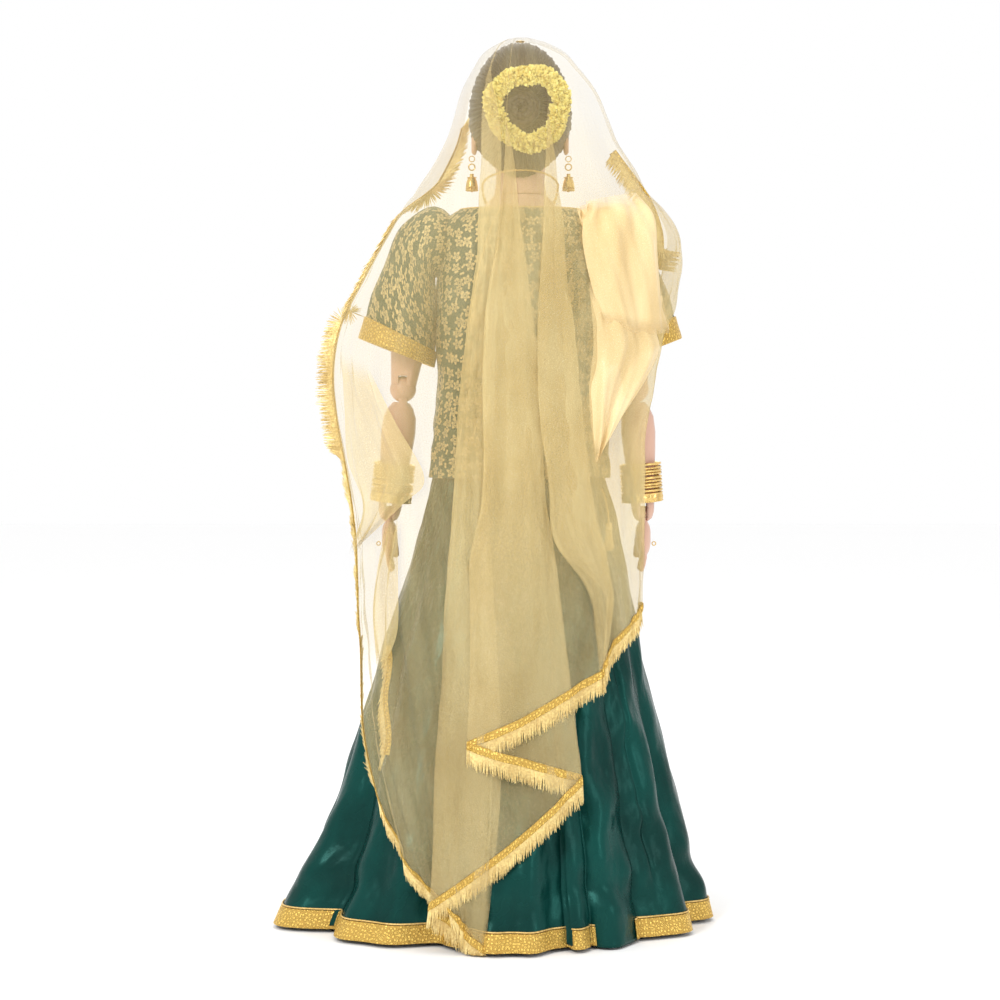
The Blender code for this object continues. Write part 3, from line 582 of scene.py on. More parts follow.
def eye_finish(name, iris):
    """A painted eye: white, a ringed iris, a black pupil and a dark upper lid line."""
    f = Finish(name, coat_weight=0.6, coat_roughness=0.1)
    x, y, _ = f.split(f.place("UV").socket)
    away = (x.power(2.0) + y.power(2.0)).power(0.5)
    colour = f.mix(away.between(0.0068, 0.0062), (0.88, 0.85, 0.80), iris)
    colour = f.mix(away.between(0.0033, 0.0028), colour, (0.008, 0.006, 0.006))
    rim = f.attribute("rim")
    f.colour(f.mix(rim.between(0.80, 0.92), colour, (0.01, 0.008, 0.008)))
    f.put(f.shader, "Roughness", 0.22 + 0.3 * rim)
    return f.material


# ---------------------------------------------------------------- sizes and colours to change

def size(name, description, default, low=0.0, high=2.0):
    return FloatProperty(name=name, description=description, default=default, min=low, max=high,
                         subtype="DISTANCE", unit="LENGTH")


def tint(name, description, default):
    return FloatVectorProperty(name=name, description=description, default=default, subtype="COLOR",
                               size=3, min=0.0, max=1.0)


class PuppetClothSettings(bpy.types.PropertyGroup):
    """Colours and sizes of the cloth."""
    veil: tint("Veil", "Colour of the net's threads", (0.69, 0.55, 0.245))
    # painted light: the gathered net's colour is the net's own made brighter, a painted glow for net lit from behind
    gathers: tint("Gathers", "Colour of the gathered net, which glows against the light", (0.88, 0.69, 0.36))
    veil_cover: FloatProperty(name="Veil cover", description="Share of light that one layer of net stops",
                              default=0.30, min=0.1, max=1.0, subtype="FACTOR")
    satin: tint("Satin", "Colour of the skirt", (0.003, 0.052, 0.043))
    ground: tint("Brocade ground", "Green of the blouse between its flowers", (0.008, 0.056, 0.029))
    gold: tint("Brocade gold", "Gold of the woven flowers", (0.80, 0.60, 0.27))
    lace: tint("Lace", "Gold of the ribbon borders", (1.0, 0.69, 0.17))
    fringe: tint("Fringe", "Colour of the thread fringe", (0.88, 0.62, 0.23))
    fringe_length: size("Fringe length", "Length of the fringe's threads", 0.026, 0.005, 0.05)
    thread_gap: size("Thread gap", "Distance from one fringe thread to the next", 0.0010, 0.0008, 0.01)


class PuppetFigureSettings(bpy.types.PropertyGroup):
    """Colours and counts of the carved figure and its jewellery."""
    skin: tint("Skin", "Paint of the face, arms and hands", (0.68, 0.42, 0.31))
    hair: tint("Hair", "Colour of the hair", (0.026, 0.015, 0.009))
    petals: tint("Petals", "Colour of the flower ring", (1.0, 0.93, 0.34))
    brass: tint("Brass", "Colour of the bangles and ear drops", (0.90, 0.62, 0.22))
    petal_count: IntProperty(name="Petals", description="Petals of the flower ring", default=4800,
                             min=100, max=6000)
    thin_bangles: IntProperty(name="Thin bangles", description="Thin bangles on each arm", default=9,
                              min=1, max=14)


class PuppetStageSettings(bpy.types.PropertyGroup):
    """The floor, lights and camera."""
    floor: tint("Floor", "Colour of the pale floor", (0.985, 0.985, 0.985))
    camera_distance: size("Camera distance", "How far behind the figure the camera stands", 3.4, 1.0, 12.0)
    camera_height: size("Camera height", "Height of the camera's lens", 0.75, 0.0, 3.0)


def cloth():
    return bpy.context.scene.puppet_cloth


def figure():
    return bpy.context.scene.puppet_figure


FINISHES = {}


def finish(name):
    """Each finish is made once, from the settings, and kept by name."""
    if name not in FINISHES:
        c, g = cloth(), figure()
        skin_paint = {"blush": (0.66, 0.20, 0.15), "lip": (0.46, 0.035, 0.035), "line": (0.014, 0.009, 0.008)}
        FINISHES[name] = {
            "net": lambda: organza_finish(name, tuple(c.veil), c.veil_cover),
            # the gathered net is painted in the brighter Gathers colour, a painted glow against the light
            "gather": lambda: organza_finish(name, tuple(c.gathers), min(1.0, c.veil_cover + 0.50)),
            "swag": lambda: organza_finish(name, tuple(c.veil), min(1.0, c.veil_cover + 0.20)),
            "satin": lambda: satin_finish(name, tuple(c.satin)),
            "brocade": lambda: brocade_finish(name, tuple(c.ground), tuple(c.gold)),
            "lace": lambda: lace_finish(name, tuple(c.lace)),
            "fringe": lambda: thread_finish(name, tuple(c.fringe)),
            "cord": lambda: thread_finish(name, (0.72, 0.46, 0.12), 0.42, 0.45),
            "skin": lambda: wood_finish(name, tuple(g.skin), skin_paint),
            "bare_wood": lambda: wood_finish(name, (0.40, 0.23, 0.11)),
            "base_wood": lambda: wood_finish(name, (0.26, 0.13, 0.06)),
            "steel": lambda: metal_finish(name, (0.20, 0.20, 0.21), 0.42),
            "brass": lambda: metal_finish(name, tuple(g.brass), 0.24, 90.0),
            "hair": lambda: hair_finish(name, tuple(g.hair)),
            "petals": lambda: petal_finish(name, tuple(g.petals)),
            "calico": lambda: calico_finish(name, (0.72, 0.64, 0.50)),
            "eye": lambda: eye_finish(name, (0.060, 0.026, 0.012)),
            "bead": lambda: metal_finish(name, (0.86, 0.55, 0.18), 0.22, 240.0),
        }[name]()
    return FINISHES[name]


def settle(made, slot, body, *nodes):
    """Hangs a piece on its body's empty and hides the CAD nodes that it stands for. The slot is not used."""
    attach(made, body)
    if nodes:
        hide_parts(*nodes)
    return made


# ---------------------------------------------------------------- skirt

SKIRT = ((0.004, 0.330, 0.268, 0.262, 0.246), (0.10, 0.290, 0.244, 0.245, 0.226), (0.20, 0.258, 0.220, 0.222, 0.204),
         (0.30, 0.232, 0.196, 0.198, 0.182), (0.42, 0.196, 0.172, 0.166, 0.154), (0.55, 0.155, 0.150, 0.126, 0.120),
         (0.62, 0.136, 0.134, 0.102, 0.098), (0.69, 0.116, 0.116, 0.084, 0.082))

# turns in degrees of the sharp valleys between the flutes
VALLEYS = (-180, -150, -122, -96, -70, -41, -22, -15, 22, 59, 86, 112, 146, 180)

TUCK = (math.radians(-31.5), math.radians(9.0))   # middle and half-width of the tuck in the hem


def skirt_points(heights, turns, outset=0.0):
    """An oval of four quarter-widths read from SKIRT by height (turn 0 behind, + to the left), swollen by
    flutes that grow downwards: round lobes between the sharp VALLEYS, small folds between, and a slow sway of 5."""
    z, turn = np.meshgrid(heights, turns, indexing="ij")
    left, right, back, front = (read_table(SKIRT, z, k) for k in (1, 2, 3, 4))
    fall = np.clip((0.64 - z) / 0.62, 0, 1)
    valley = np.radians(VALLEYS)
    k = np.clip(np.searchsorted(valley, turn, side="right") - 1, 0, len(valley) - 2)
    share = (turn - valley[k]) / (valley[k + 1] - valley[k])
    lobe = np.sqrt(np.sin(np.pi * share) ** 2 + 0.012) - 0.62
    lobe = lobe * np.minimum(1.0, (valley[k + 1] - valley[k]) / 0.60)
    second = np.cos(26 * turn + 2.2 * np.sin(3 * turn) + 2 * fall)
    small = np.cos(63 * turn + 1.3 * np.sin(4 * turn)) * 0.008 * smooth_step(z, 0.48, 0.66)
    sweep = 0.026 * smooth_step(z, 0.26, 0.0) * np.exp(-((turn - 1.30) / 0.30) ** 2)
    grow = 1 + 0.170 * fall * lobe + 0.016 * fall ** 0.7 * second + 0.018 * fall * np.cos(5 * turn + 0.6) + small
    crease = 0.0016 * np.sin(z * 60 + 3 * np.sin(turn * 5)) * np.sin(turn * 9 + z * 14)
    crease = crease + 0.0042 * fall * np.sin(z * 30 + 7 * turn + 2.5 * np.sin(3 * turn + z * 9)) \
        * np.sin(turn * 6 - z * 7)
    crease = crease + 0.0060 * np.sin(z * 70 + 1.6 * np.sin(turn * 6 + 1)) * np.exp(-((z - 0.075) / 0.05) ** 2) \
        * np.sin(turn * 4 + 0.6) ** 2
    crease = crease * smooth_step(z, 0.0, 0.08)
    seam = turn + math.radians(50)
    pull = np.exp(-np.abs(seam) / 0.10) * smooth_step(z, 0.04, 0.12) * smooth_step(z, 0.60, 0.50)
    crease = crease - 0.0045 * np.exp(-(seam / 0.016) ** 2) * pull
    crease = crease + 0.0050 * pull * np.sin(z * 85 + 16 * np.abs(seam) + np.sin(z * 31)) * np.sin(z * 23 + 1) ** 2
    x = np.where(np.sin(turn) > 0, left, right) * np.sin(turn)
    y = np.where(np.cos(turn) > 0, back, front) * np.cos(turn)
    length = np.maximum(np.hypot(x, y), 1e-6)
    grow = grow + (outset + crease + sweep) / length
    return np.stack([x * grow, y * grow, z], -1)


TURN_ROUND = np.linspace(-math.pi, math.pi, 481)


class PUPPET_OT_skirt(bpy.types.Operator):
    """Satin skirt with deep flutes, its gold hem border and its waistband"""
    bl_idname = "puppet.skirt"
    bl_label = "Skirt"

    def execute(self, context):
        heights = np.linspace(0.672, 0.010, 150)
        points = skirt_points(heights, TURN_ROUND)
        tuck = smooth_step(np.abs(TURN_ROUND - TUCK[0]), TUCK[1], TUCK[1] - 0.03)
        points[..., 2] -= 0.0070 * tuck * smooth_step(points[..., 2], 0.05, 0.012)
        skirt = make("skirt_satin", grid(points), finish("satin"))
        thicken(skirt, 0.0014)
        settle(skirt, "satin", "figure", "skirt")
        cut_area = area_of(skirt)

        band_rows = np.concatenate([[0.0052], np.linspace(0.006, 0.031, 14), [0.0318]])
        out = 0.0026 + 0.0016 * np.array([0.0] + [1.0] * 14 + [0.0])
        # the hem is turned under at the tuck, so the border starts on one side of it and ends on the other
        turns = np.linspace(TUCK[0] + TUCK[1] - 0.02, TUCK[0] - TUCK[1] + 0.02 + 2 * math.pi, 460)
        turns = np.mod(turns + math.pi, 2 * math.pi) - math.pi
        rows = [skirt_points(np.array([z]), turns, o)[0] for z, o in zip(band_rows, out)]
        points = np.stack(rows)[::-1]
        border = make("skirt_gota_border", grid(points), finish("lace"))
        thicken(border, 0.0012, 1.0)
        settle(border, "gold_lace", "figure", "skirt_border")

        piping = skirt_points(np.array([0.0335]), turns, 0.0036)[0]
        rope = make("skirt_border_piping", tube(piping, 0.0012, 8, (0, 0, 1)), finish("cord"))
        settle(rope, "gold_lace", "figure")

        waist = np.linspace(0, 1, 18)
        pleat = np.cos(TURN_ROUND * 64)[None] * 0.0006
        rows = np.stack([skirt_points(np.array([0.6905 - 0.0235 * w]), TURN_ROUND,
                                      0.0022 + 0.0022 * math.sin(math.pi * w) ** 0.5)[0] for w in waist])
        rows[..., :2] *= 1 + (pleat / 0.1)[..., None]
        band = make("waistband_satin", grid(rows), finish("satin"))
        thicken(band, 0.0012)
        settle(band, "satin", "figure", "waistband")
        return {"FINISHED"}


# ---------------------------------------------------------------- blouse, pads and sleeves

BLOUSE = ((0.652, 0.134, 0.100, 0.102), (0.720, 0.128, 0.097, 0.097), (0.800, 0.121, 0.097, 0.092),
          (0.900, 0.118, 0.103, 0.094), (0.960, 0.117, 0.098, 0.091), (1.000, 0.119, 0.087, 0.085),
          (1.026, 0.117, 0.073, 0.077), (1.040, 0.104, 0.064, 0.070), (1.050, 0.088, 0.0575, 0.064))
# share of the sleeve's run: middle (x, z), tilt in degrees, radius
SLEEVE = ((-0.16, 0.101, 1.003, 0.0, 0.037), (-0.08, 0.112, 1.003, 0.0, 0.0475), (0.0, 0.1235, 1.003, 0.0, 0.052),
          (0.25, 0.147, 0.983, 25.0, 0.055), (0.5, 0.160, 0.939, 43.0, 0.056), (0.75, 0.173, 0.889, 58.0, 0.057),
          (1.0, 0.184, 0.838, 69.0, 0.058))
ARMHOLE = 0.036


def blouse_points(heights, turns, outset=0.0):
    """An oval of half-width, front and back depth read from BLOUSE by height; wrinkles pull in at the waist."""
    z, turn = np.meshgrid(heights, turns, indexing="ij")
    half, front, back = (read_table(BLOUSE, z, k) for k in (1, 2, 3))
    waist = np.exp(-((z - 0.71) / 0.05) ** 2)
    fold = 0.0016 * np.sin(z * 150 + 2.0 * np.sin(turn * 3)) * waist * (0.4 + 0.6 * np.sin(turn * 2 + 0.7) ** 2)
    pull = 0.0014 * np.sin(turn * 14 + z * 30) * smooth_step(z, 0.86, 0.66)
    x = (half + 0.006 * smooth_step(z, 0.80, 0.86) * smooth_step(z, 0.99, 0.94)) * np.sin(turn)
    x = x * (1 + 0.05 * np.sin(2 * turn) ** 2)
    y = np.where(np.cos(turn) > 0, back, front) * np.cos(turn)
    grow = 1 + (outset + fold + pull) / np.maximum(np.hypot(x, y), 1e-6)
    return np.stack([x * grow, y * grow, z], -1)


def sleeve_points(sign, shares, turns, outset=0.0):
    """Rings of the SLEEVE table: each lies across the sleeve's run, tilted, with soft folds round it."""
    share, turn = np.meshgrid(shares, turns, indexing="ij")
    x, z, tilt, radius = (read_table(SLEEVE, share, k) for k in (1, 2, 3, 4))
    tilt = np.radians(tilt)
    fold = 0.0015 * np.sin(share * 17 + 1.8 * np.sin(turn + 1)) * (0.35 + 0.65 * np.cos(turn - 0.6) ** 2)
    fold = fold * smooth_step(share, 0.0, 0.15) * smooth_step(share, 1.0, 0.86)
    r = radius + outset + fold
    return np.stack([sign * (x + r * np.cos(turn) * np.sin(tilt)), r * np.sin(turn),
                     z + r * np.cos(turn) * np.cos(tilt)], -1)


class PUPPET_OT_blouse(bpy.types.Operator):
    """Brocade blouse with the padding under it"""
    bl_idname = "puppet.blouse"
    bl_label = "Blouse"

    def execute(self, context):
        heights = np.concatenate([np.linspace(0.654, 0.96, 70), np.linspace(0.964, 1.049, 34)])
        points = blouse_points(heights, TURN_ROUND)
        shape = grid(points[::-1], own_run=True)
        verts, faces, uv = shape
        middle = verts[faces].mean(1)
        hole = (np.hypot(middle[:, 1], middle[:, 2] - 1.003) < ARMHOLE) & (np.abs(middle[:, 0]) > 0.08)
        blouse = make("blouse_brocade", (verts, faces[~hole], uv), finish("brocade"))
        thicken(blouse, 0.0013)
        settle(blouse, "brocade", "figure", "blouse")
        across = float(lengths_along(points, 1)[-1])
        area_of(blouse) / across

        neck = blouse_points(np.array([1.0492]), TURN_ROUND, 0.0008)[0]
        edge = make("blouse_neck_piping", tube(neck, 0.0016, 8, (0, 0, 1)), finish("cord"))
        settle(edge, "gold_lace", "figure")

        for name, node in (("chest_pad", "chest_padding"), ("back_pad", "back_padding")):
            pad = soften(welded_copy(name, node, finish("calico")), 0.006, 6)
            settle(pad, "calico", "figure", node)
        return {"FINISHED"}


class PUPPET_OT_sleeves(bpy.types.Operator):
    """Short brocade sleeves with gold borders"""
    bl_idname = "puppet.sleeves"
    bl_label = "Sleeves"

    def execute(self, context):
        turns = np.linspace(0, 2 * math.pi, 121)
        for side, sign in SIDES.items():
            points = sleeve_points(sign, np.linspace(-0.16, 0.97, 84), turns)
            sleeve = make(f"sleeve_brocade_{side}", grid(points, flip=sign < 0, own_run=True), finish("brocade"))
            thicken(sleeve, 0.0012)
            settle(sleeve, "brocade", f"upper_arm_{side}", f"sleeve_{side}")
            across = float(lengths_along(points, 1)[-1])
            area_of(sleeve) / across
            rows = np.concatenate([[0.862], np.linspace(0.864, 0.992, 12), [0.994]])
            out = 0.0004 + 0.0016 * np.array([0.0] + [1.0] * 12 + [0.0])
            band = np.stack([sleeve_points(sign, np.array([s]), turns, o)[0] for s, o in zip(rows, out)])
            border = make(f"sleeve_gota_{side}", grid(band, flip=sign < 0), finish("lace"))
            thicken(border, 0.0010, 1.0)
            settle(border, "gold_lace", f"upper_arm_{side}", f"sleeve_border_{side}")
        return {"FINISHED"}


# ---------------------------------------------------------------- veil

VEIL_LEFT = ((1.2969, .030), (1.28, .052), (1.26, .064), (1.245, .072), (1.223, .083), (1.186, .094), (1.149, .106),
             (1.11, .128), (1.075, .152), (1.05, .172), (1.0, .203), (.95, .230), (.88, .264), (.80, .276),
             (.65, .256), (.55, .246), (.42, .243), (.30, .262), (.17, .290), (.10, .312), (0, .335))
VEIL_RIGHT = ((1.2969, .032), (1.28, .060), (1.26, .076), (1.245, .088), (1.223, .104), (1.186, .12), (1.149, .135),
              (1.11, .16), (1.075, .178), (1.05, .20), (1.0, .22), (.95, .217), (.88, .212), (.80, .206), (.55, .206),
              (.42, .208), (.30, .222), (.17, .25), (.10, .268), (0, .30))
VEIL_BACK = ((1.2969, .042), (1.28, .092), (1.2574, .138), (1.235, .160), (1.19, .168), (1.14, .168), (1.077, .156),
             (1.05, .153), (1.0, .150), (.95, .148), (.88, .146), (.80, .146), (.65, .158), (.55, .178), (.42, .214),
             (.30, .240), (.17, .262), (.10, .270), (0, .278))
VEIL_MIDDLE = ((1.3025, -.035), (1.28, -.02), (1.25, -.005), (1.2, 0.0), (0, 0.0))
# each fold line: (height, turn in degrees from straight behind), its lowest point, its distance out
FOLDS = (
    (((1.3, -92), (1.19, -82), (1.05, -79), (1.0, -78), (0.95, -72), (0.9, -60), (0.85, -45), (0.8, -32),
      (0.7, -20), (0.6, -15), (0.566, -14.5), (0.52, -28), (0.485, -36), (0.385, -33)), 0.39, -0.003),
    (((1.0, -88), (0.95, -82), (0.9, -74), (0.87, -66), (0.8, -60), (0.7, -52), (0.6, -52), (0.5, -51),
      (0.45, -49), (0.385, -40)), 0.47, 0.015),
    (((1.18, -16.8), (1.105, -11.7), (1.034, -8.3), (0.94, -6.6), (0.87, -5.9), (0.745, -6.8), (0.65, -10),
      (0.566, -12.4), (0.5, -25), (0.38, -30)), 0.38, 0.012),
    (((1.18, -17.2), (1.105, -16.9), (1.034, -15.5), (0.94, -16.5), (0.87, -19.9), (0.745, -23.9),
      (0.63, -27.9), (0.485, -36.3), (0.38, -30)), 0.38, 0.009),
    (((1.16, 11.8), (1.113, 10.0), (1.02, 9.0), (0.912, 10.7), (0.826, 10.9), (0.624, 12.4), (0.53, 16.9),
      (0.276, 16)), 0.283, 0.006),
    (((1.16, 11.3), (1.113, 4.8), (1.02, 0.2), (0.912, -3.5), (0.826, -6), (0.696, -8.4), (0.624, -9.6),
      (0.566, -12.4), (0.356, -18.8), (0.229, -20.7)), 0.237, 0.003),
    (((1.245, 34.2), (1.175, 33), (1.105, 24.7), (1.034, 18.9), (0.955, 16.2), (0.847, 16.7), (0.761, 18.5),
      (0.624, 21.9), (0.455, 26.5), (0.28, 26.7), (0.09, 23.3), (0.045, 23.2)), 0.06, 0.0),
    (((1.245, 33.8), (1.175, 18.7), (1.105, 11.9), (1.034, 9.4), (0.94, 8.5), (0.76, 9.2), (0.624, 10.2),
      (0.455, 8.5), (0.255, 6), (0.02, 8.5)), 0.0045, -0.003),
    (((1.3, 110), (1.19, 121), (1.1, 121), (1.075, 112), (1.05, 98), (1.0, 94), (0.95, 92), (0.9, 90),
      (0.87, 88), (0.8, 86), (0.696, 84), (0.6, 77), (0.45, 75), (0.3, 59), (0.208, 46), (0.09, 30), (0.052, 24)
     ), 0.213, -0.003),
)
FOLD_SHARES = (.11, .14, .05, .12, .09, .13, .08, .28)
VEIL_TOP = 1.3035


# lowest points of the left panel, by the share of its width
LEFT_HEM = ((0, .0045), (.25, .014), (.45, .040), (.70, .095), (1.0, .213))


def veil_place(z, turn, out):
    """A point of the drape: width, depth and middle are read by height, the turn is from straight behind,
    and out pushes it away from the figure."""
    wide = np.where(turn > 0, read_table(VEIL_LEFT, z), read_table(VEIL_RIGHT, z))
    deep, middle = read_table(VEIL_BACK, z), read_table(VEIL_MIDDLE, z)
    reach = np.where(np.abs(turn) > math.pi / 2, 0.10, np.maximum(deep - middle, 0.02))
    near = np.sqrt(1 - (1 - np.clip((VEIL_TOP - z) / 0.011, 0, 1)) ** 2)
    side, back = np.sin(turn) * (wide * near + out), np.cos(turn) * (reach * near + out)
    return np.stack([side, middle + back, z], -1)


def veil_points(columns, rows):
    """One cloth across all the fold lines. Between two lines the turn, the lowest point and the layer ease
    from one to the next on half a cosine, so that each line is a rounded fold. Down a column the height
    runs from the crown to the lowest point. Ripples grow downwards. Also gives where the net is bunched."""
    shares = np.cumsum((0,) + FOLD_SHARES)
    u = np.linspace(0, 1, columns)
    k = np.clip(np.searchsorted(shares, u, side="right") - 1, 0, len(FOLD_SHARES) - 1)
    t = (u - shares[k]) / (shares[k + 1] - shares[k])
    ease = 0.5 - 0.5 * np.cos(np.pi * t)
    low = np.array([f[1] for f in FOLDS])
    layer = np.array([f[2] for f in FOLDS])
    # the left panel's hem is a curve through three corners, so its lowest points are read, not eased
    bottom = low[k] + (low[k + 1] - low[k]) * ease
    last = k == len(FOLD_SHARES) - 1
    bottom = np.where(last, read_table(LEFT_HEM, t), bottom)
    v = np.linspace(0, 1, rows)[:, None]
    z = VEIL_TOP - (VEIL_TOP - bottom[None]) * (0.25 * v ** 2 + 0.75 * v)
    angles = np.stack([read_table(f[0], z) for f in FOLDS])
    index = np.arange(columns)
    turn = np.radians(angles[k, :, index].T * (1 - ease) + angles[k + 1, :, index].T * ease)
    near = 0.3 + 0.7 * smooth_step(z, 1.10, 0.95)
    out = (layer[k] * (1 - ease) + layer[k + 1] * ease)[None] * near
    phase = u[None] * 2 * math.pi
    ripple = np.sin(phase * 13 + 2.2 * np.sin(z * 5)) + 0.55 * np.sin(phase * 29 + z * 4) \
        + 0.30 * np.sin(phase * 61 - z * 9)
    size_of = 0.0012 + 0.0030 * smooth_step(z, 1.16, 0.85) + 0.0032 * smooth_step(z, 0.7, 0.1)
    wrinkle = 0.0012 * np.sin(z * 95 + 3 * np.sin(phase * 7)) * np.sin(phase * 19) * smooth_step(z, 1.25, 1.0)
    bunched = np.where(k < len(FOLD_SHARES) - 1, 1.0, 1 - smooth_step(t, 0.0, 0.10))[None] \
        * smooth_step(z, 0.42, 0.72) * smooth_step(z, 1.13, 1.02) - 0.6 * smooth_step(z, 1.13, 1.19)
    calm = (0.2 + 0.8 * smooth_step(u, 0.0, 0.05) * smooth_step(u, 1.0, 0.95))[None]
    return veil_place(z, turn, out + calm * (size_of * ripple * 0.62 + wrinkle) + 0.004), bunched


def turned_in_border():
    """The net's right border from the temple to the upper arm: there it turns in behind the shoulder, so its
    lines are steps of a path's own normal in the plane of width and height."""
    path = smooth_route([(-.138, .030, 1.135), (-.165, .034, 1.098), (-.190, .034, 1.062), (-.2045, .034, 1.025),
                         (-.2085, .034, .995), (-.2045, .034, .960)], 14)
    way = unit(np.gradient(path, axis=0))
    inward = np.stack([-way[:, 2], 0 * way[:, 0], way[:, 0]], -1)
    return path[None] + np.linspace(0, 0.012, 9)[:, None, None] * inward


def lace_along(lines):
    """A ribbon on an edge of the cloth: it follows the cloth's own last lines inward (an edge is their first)
    and bulges a little away from the figure."""
    steps = np.linspace(-0.0015, 0.0100, 8)
    run = np.concatenate([np.zeros((1, lines.shape[1])),
                          np.cumsum(np.linalg.norm(np.diff(lines, axis=0), axis=2), axis=0)])
    ahead = unit(lines[1] - lines[0])
    rows = []
    for step in steps:
        k = np.clip((run < max(step, 0.0)).sum(0) - 1, 0, len(lines) - 2)
        at = np.arange(lines.shape[1])
        share = (step - run[k, at]) / np.maximum(run[k + 1, at] - run[k, at], 1e-6)
        share = np.where(step < 0, 0.0, np.clip(share, 0, 1))
        rows.append(lines[k, at] + share[:, None] * (lines[k + 1, at] - lines[k, at])
                    + np.minimum(step, 0.0) * ahead)
    points = np.stack(rows)
    away = unit(points * np.array([1.0, 1.0, 0.0]))
    return points + away * (0.0010 + 0.0008 * np.sin(np.linspace(0, math.pi, 8)))[:, None, None]


THREAD_SIDES = 3


def drop_threads(points, hang, gap, length, seed):
    """Threads along an edge, one per gap: each is a thin bent tube that leaves the edge along hang, leans a
    little its own way and ends in a tip."""
    rng = np.random.default_rng(seed)
    along = run_of(points)
    count = max(2, int(along[-1] / gap))
    at = (np.arange(count) + 0.5) / count * along[-1]
    root, way = read_line(points, along, at), unit(read_line(hang, along, at))
    lean = rng.normal(0, 0.055, (count, 3))
    long = length * rng.uniform(0.86, 1.05, (count, 1, 1))
    t = np.array([0.0, 0.35, 0.7, 1.0])[None, :, None]
    path = root[:, None] + long * (way[:, None] * t + lean[:, None] * t ** 2)
    turn = np.linspace(0, 2 * np.pi, THREAD_SIDES + 1)
    width = np.array([0.0008, 0.0010, 0.0009, 0.0003])[None, :, None, None]
    a = unit(np.cross(way, np.array([0.31, 0.9, 0.29])))
    b = np.cross(way, a)
    out = a[:, None, None] * np.cos(turn)[None, None, :, None] + b[:, None, None] * np.sin(turn)[None, None, :, None]
    body = path[:, :, None] + width * out
    number = np.arange(count * 4 * (THREAD_SIDES + 1)).reshape(count, 4, THREAD_SIDES + 1)
    faces = np.stack([number[:, :-1, :-1], number[:, :-1, 1:], number[:, 1:, 1:], number[:, 1:, :-1]], -1)
    uv = np.zeros((number.size, 2))
    uv[:, 1] = np.tile(np.repeat(np.linspace(0, length, 4), THREAD_SIDES + 1), count)
    return body.reshape(-1, 3), faces.reshape(-1, 4)[:, ::-1], uv


def across_neck(made):
    """Cloth across the neck: its placing is baked into its points, and it hangs on no body."""
    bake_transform(made)
    return made


PATCH_COLUMNS, PATCH_ROWS = 60, 90


def patch_points(left, right, out, puff):
    """A loose layer of the net over the drape. left and right are its side lines from top to bottom, points
    (x, z). Across it, x and z run from one line to the other, and it swells outward between them, with
    soft folds down its length."""
    u, v = np.meshgrid(np.linspace(0, 1, PATCH_COLUMNS), np.linspace(0, 1, PATCH_ROWS))
    ends = []
    for line in (left, right):
        line = smooth_route([(x, 0.0, z) for x, z in line], 12)
        run = run_of(line)
        at = np.linspace(0, run[-1], PATCH_ROWS)
        ends.append(read_line(line, run, at)[:, [0, 2]])
    spot = ends[0][:, None] * (1 - u[..., None]) + ends[1][:, None] * u[..., None]
    x, z = spot[..., 0], spot[..., 1]
    z = z - 0.010 * np.sin(np.pi * u) * v ** 4
    wide = np.where(x > 0, read_table(VEIL_LEFT, z), read_table(VEIL_RIGHT, z)) * 1.04
    turn = np.arcsin(np.clip(x / wide, -0.97, 0.97))
    swell = puff * (1 - (2 * u - 1) ** 4) * np.sin(np.pi * np.clip(v * 0.9 + 0.08, 0, 1)) ** 0.5
    fold = 0.0040 * np.sin(u * 13 + 2.5 * np.sin(v * 3.2) + 4 * v) + 0.0014 * np.sin(u * 31 - v * 7)
    edge = np.minimum(1.0, 6 * np.minimum(u, 1 - u) + 0.15)
    return veil_place(z, turn, out + swell + fold * edge)


# loose layers of the net: name, side lines from top to bottom, distance out, swell
PATCHES = (
    ("shoulder_gather_under", ((-.088, 1.050), (-.098, .985), (-.105, .930), (-.150, .885)),
     ((-.160, 1.045), (-.186, 1.000), (-.195, .940), (-.214, .868)), .016, .010),
    ("shoulder_gather", ((-.089, 1.050), (-.081, 1.000), (-.095, .925), (-.112, .880)),
     ((-.152, 1.066), (-.178, 1.030), (-.186, .960), (-.194, .866)), .024, .020),
    ("waist_gather", ((-.092, .935), (-.099, .850), (-.093, .780), (-.100, .690)),
     ((-.170, .935), (-.188, .868), (-.187, .822), (-.102, .688)), .018, .012),
    ("gather_pleat", ((-.074, 1.040), (-.085, 1.005), (-.094, .985)),
     ((-.095, 1.048), (-.100, 1.010), (-.098, .980)), .020, .003),
    ("wrist_swag", ((.262, .845), (.258, .760), (.254, .682), (.229, .614), (.246, .552)),
     ((.224, .822), (.180, .735), (.138, .657), (.170, .618), (.244, .549)), .010, .006),
    ("wrist_swag_tail", ((.190, .600), (.207, .525), (.213, .455), (.203, .392)),
     ((.176, .602), (.176, .520), (.176, .440), (.196, .388)), .010, .004),
)


